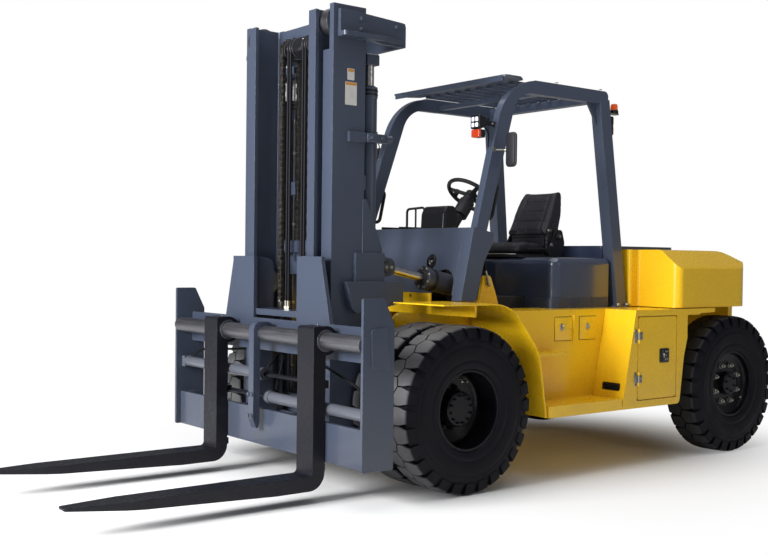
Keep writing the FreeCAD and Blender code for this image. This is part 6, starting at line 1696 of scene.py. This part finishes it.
    def feed(self, name, sign, block):
        """Hydraulic fitting on the frame and the hose from it to a tilt cylinder."""
        low, mid, high = (block + Vector((sign * 0.01, y, z))
                          for y, z in ((-0.004, 0.012), (-0.012, 0.05), (-0.03, 0.1)))
        joint = Shape()
        joint.turned([(0, 0), (0, 0.012), (0.02, 0.012), (0.024, 0.009), (0.024, 0)], block, (sign, 0, 0), 20)
        joint.hexagon(low, mid, 0.022)
        joint.rod(mid, high, 0.009, 0.001, 16)
        joint.piece("Tilt_fitting_" + name, "truck", "zinc", 30)
        bends = ((0, 0, 0), (0, -0.02, 0.06), (-sign * 0.05, 0.02, 0.11), (-sign * 0.12, 0.08, 0.09),
                 (-sign * 0.16, 0.14, -0.02))
        tube = Shape().line([high + Vector(bend) for bend in bends], 0.0085)
        tube.piece("Tilt_hose_" + name, "truck", "hose", 40)


class FORKLIFT_OT_body_fittings(Step, bpy.types.Operator):
    """Adds the bolts of the overhead guard and its roof, and the towing pin's collar"""

    bl_idname = "forklift.body_fittings"
    bl_label = "Body fittings"

    def build(self):
        self.bolts()
        self.rear()

    def bolts(self):
        up, foot_z = (0, 0, 1), 1.134
        feet = [((sign * x, y, foot_z), up) for sign in (1, -1) for y in (1.36, 1.46) for x in (0.578, 0.682)]
        fasten("Guard_bolts", "truck", feet, "zinc", 0.026)
        low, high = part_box("guard_roof")
        roof = [((sign * 0.6, y, high.z - 0.0005), up) for sign in (1, -1)
                for y in (low.y + 0.05, (low.y + high.y) / 2, high.y - 0.06)]
        fasten("Roof_bolts", "truck", roof, "zinc", 0.018, True)

    def rear(self):
        """Collar of the towing pin."""
        low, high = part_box("drawbar_pin")
        top = ((low.x + high.x) / 2, (low.y + high.y) / 2, high.z - 0.011)
        collar = [(0, 0), (0, 0.032), (0.004, 0.034), (0.01, 0.032), (0.01, 0)]
        Shape().turned(collar, top, (0, 0, 1), 32).piece("Towing_pin_collar", "truck", "zinc", 30)


class FORKLIFT_OT_carriage_fittings(Step, bpy.types.Operator):
    """Adds the carriage's bolts, the forks' bushes and the hoses of the positioners"""

    bl_idname = "forklift.carriage_fittings"
    bl_label = "Carriage fittings"

    shaft_y, shaft_z = -1.351, 0.97
    bolt_face, bolt_heights = -1.4296, (0.44, 0.58)
    fork_places = {"left": 0.64, "right": -0.52}

    def build(self):
        spots = [((sign * 0.02, self.bolt_face, z), (0, -1, 0)) for sign in (1, -1) for z in self.bolt_heights]
        fasten("Carriage_bolts", "carriage", spots, "mast", 0.024)
        y, z = self.shaft_y, self.shaft_z
        for name, x in self.fork_places.items():
            bush = Shape()
            for side in (-1, 1):
                bush.turned([(0, 0.0535), (0, 0.066), (0.0015, 0.066), (0.003, 0.062), (0.003, 0.0535)],
                            (x + side * 0.0875, y, z), (side, 0, 0), 40)
            bush.rod((x, y, z + 0.0865), (x, y, z + 0.098), 0.006, 0.001, 12)
            bush.piece("Fork_bushes_" + name, "fork_" + name, "shaft", 30)
        hoses = Shape()
        ends = ((-0.05, 0.7), (-1.06, 0.7), (0.05, 0.557), (1.06, 0.557))
        for i, (x, (end, z)) in enumerate(zip(hose_places, ends)):
            sign = 1 if end > 0 else -1
            lift = z + 0.045
            hoses.line([(x, -1.105, 1.119), (x, -1.1, 1.03), (x * 0.8, -1.14, 0.93 - i * 0.012),
                        (end * 0.5, -1.2, 0.83 - i * 0.015), (end - sign * 0.03, -1.235, lift + 0.06),
                        (end, -1.27, lift)], 0.0085)
        hoses.piece("Positioner_hoses", "carriage", "hose", 40)


# ---- panel and start ---------------------------------------------------------------------------


class FORKLIFT_PT_finish(bpy.types.Panel):
    """Lists the sizes, the colours and the steps"""

    bl_idname = "FORKLIFT_PT_finish"
    bl_label = "Electric forklift"
    bl_space_type = "VIEW_3D"
    bl_region_type = "UI"
    bl_category = "Forklift"

    def draw(self, context):
        for group in (context.scene.forklift_sizes, context.scene.forklift_colours):
            box = self.layout.box()
            for key in group.__annotations__:
                box.prop(group, key)
        column = self.layout.column(align=True)
        for step in steps:
            column.operator(step.bl_idname)


steps = (FORKLIFT_OT_stage, FORKLIFT_OT_finish_frame, FORKLIFT_OT_tyres, FORKLIFT_OT_wheel_fittings,
         FORKLIFT_OT_lift_chains, FORKLIFT_OT_lift_hoses, FORKLIFT_OT_seat, FORKLIFT_OT_lamps, FORKLIFT_OT_beacon,
         FORKLIFT_OT_mirrors, FORKLIFT_OT_dash, FORKLIFT_OT_side_fittings, FORKLIFT_OT_mast_fittings,
         FORKLIFT_OT_body_fittings, FORKLIFT_OT_carriage_fittings)
classes = (ForkliftSizes, ForkliftColours, *steps, FORKLIFT_PT_finish)


def register():
    for cls in classes:
        bpy.utils.register_class(cls)
    bpy.types.Scene.forklift_sizes = bpy.props.PointerProperty(type=ForkliftSizes)
    bpy.types.Scene.forklift_colours = bpy.props.PointerProperty(type=ForkliftColours)


def unregister():
    del bpy.types.Scene.forklift_colours
    del bpy.types.Scene.forklift_sizes
    for cls in reversed(classes):
        bpy.utils.unregister_class(cls)


def main():
    register()
    for step in steps:
        group, call = step.bl_idname.split(".")
        getattr(getattr(bpy.ops, group), call)()


if __name__ == "__main__":
    main()
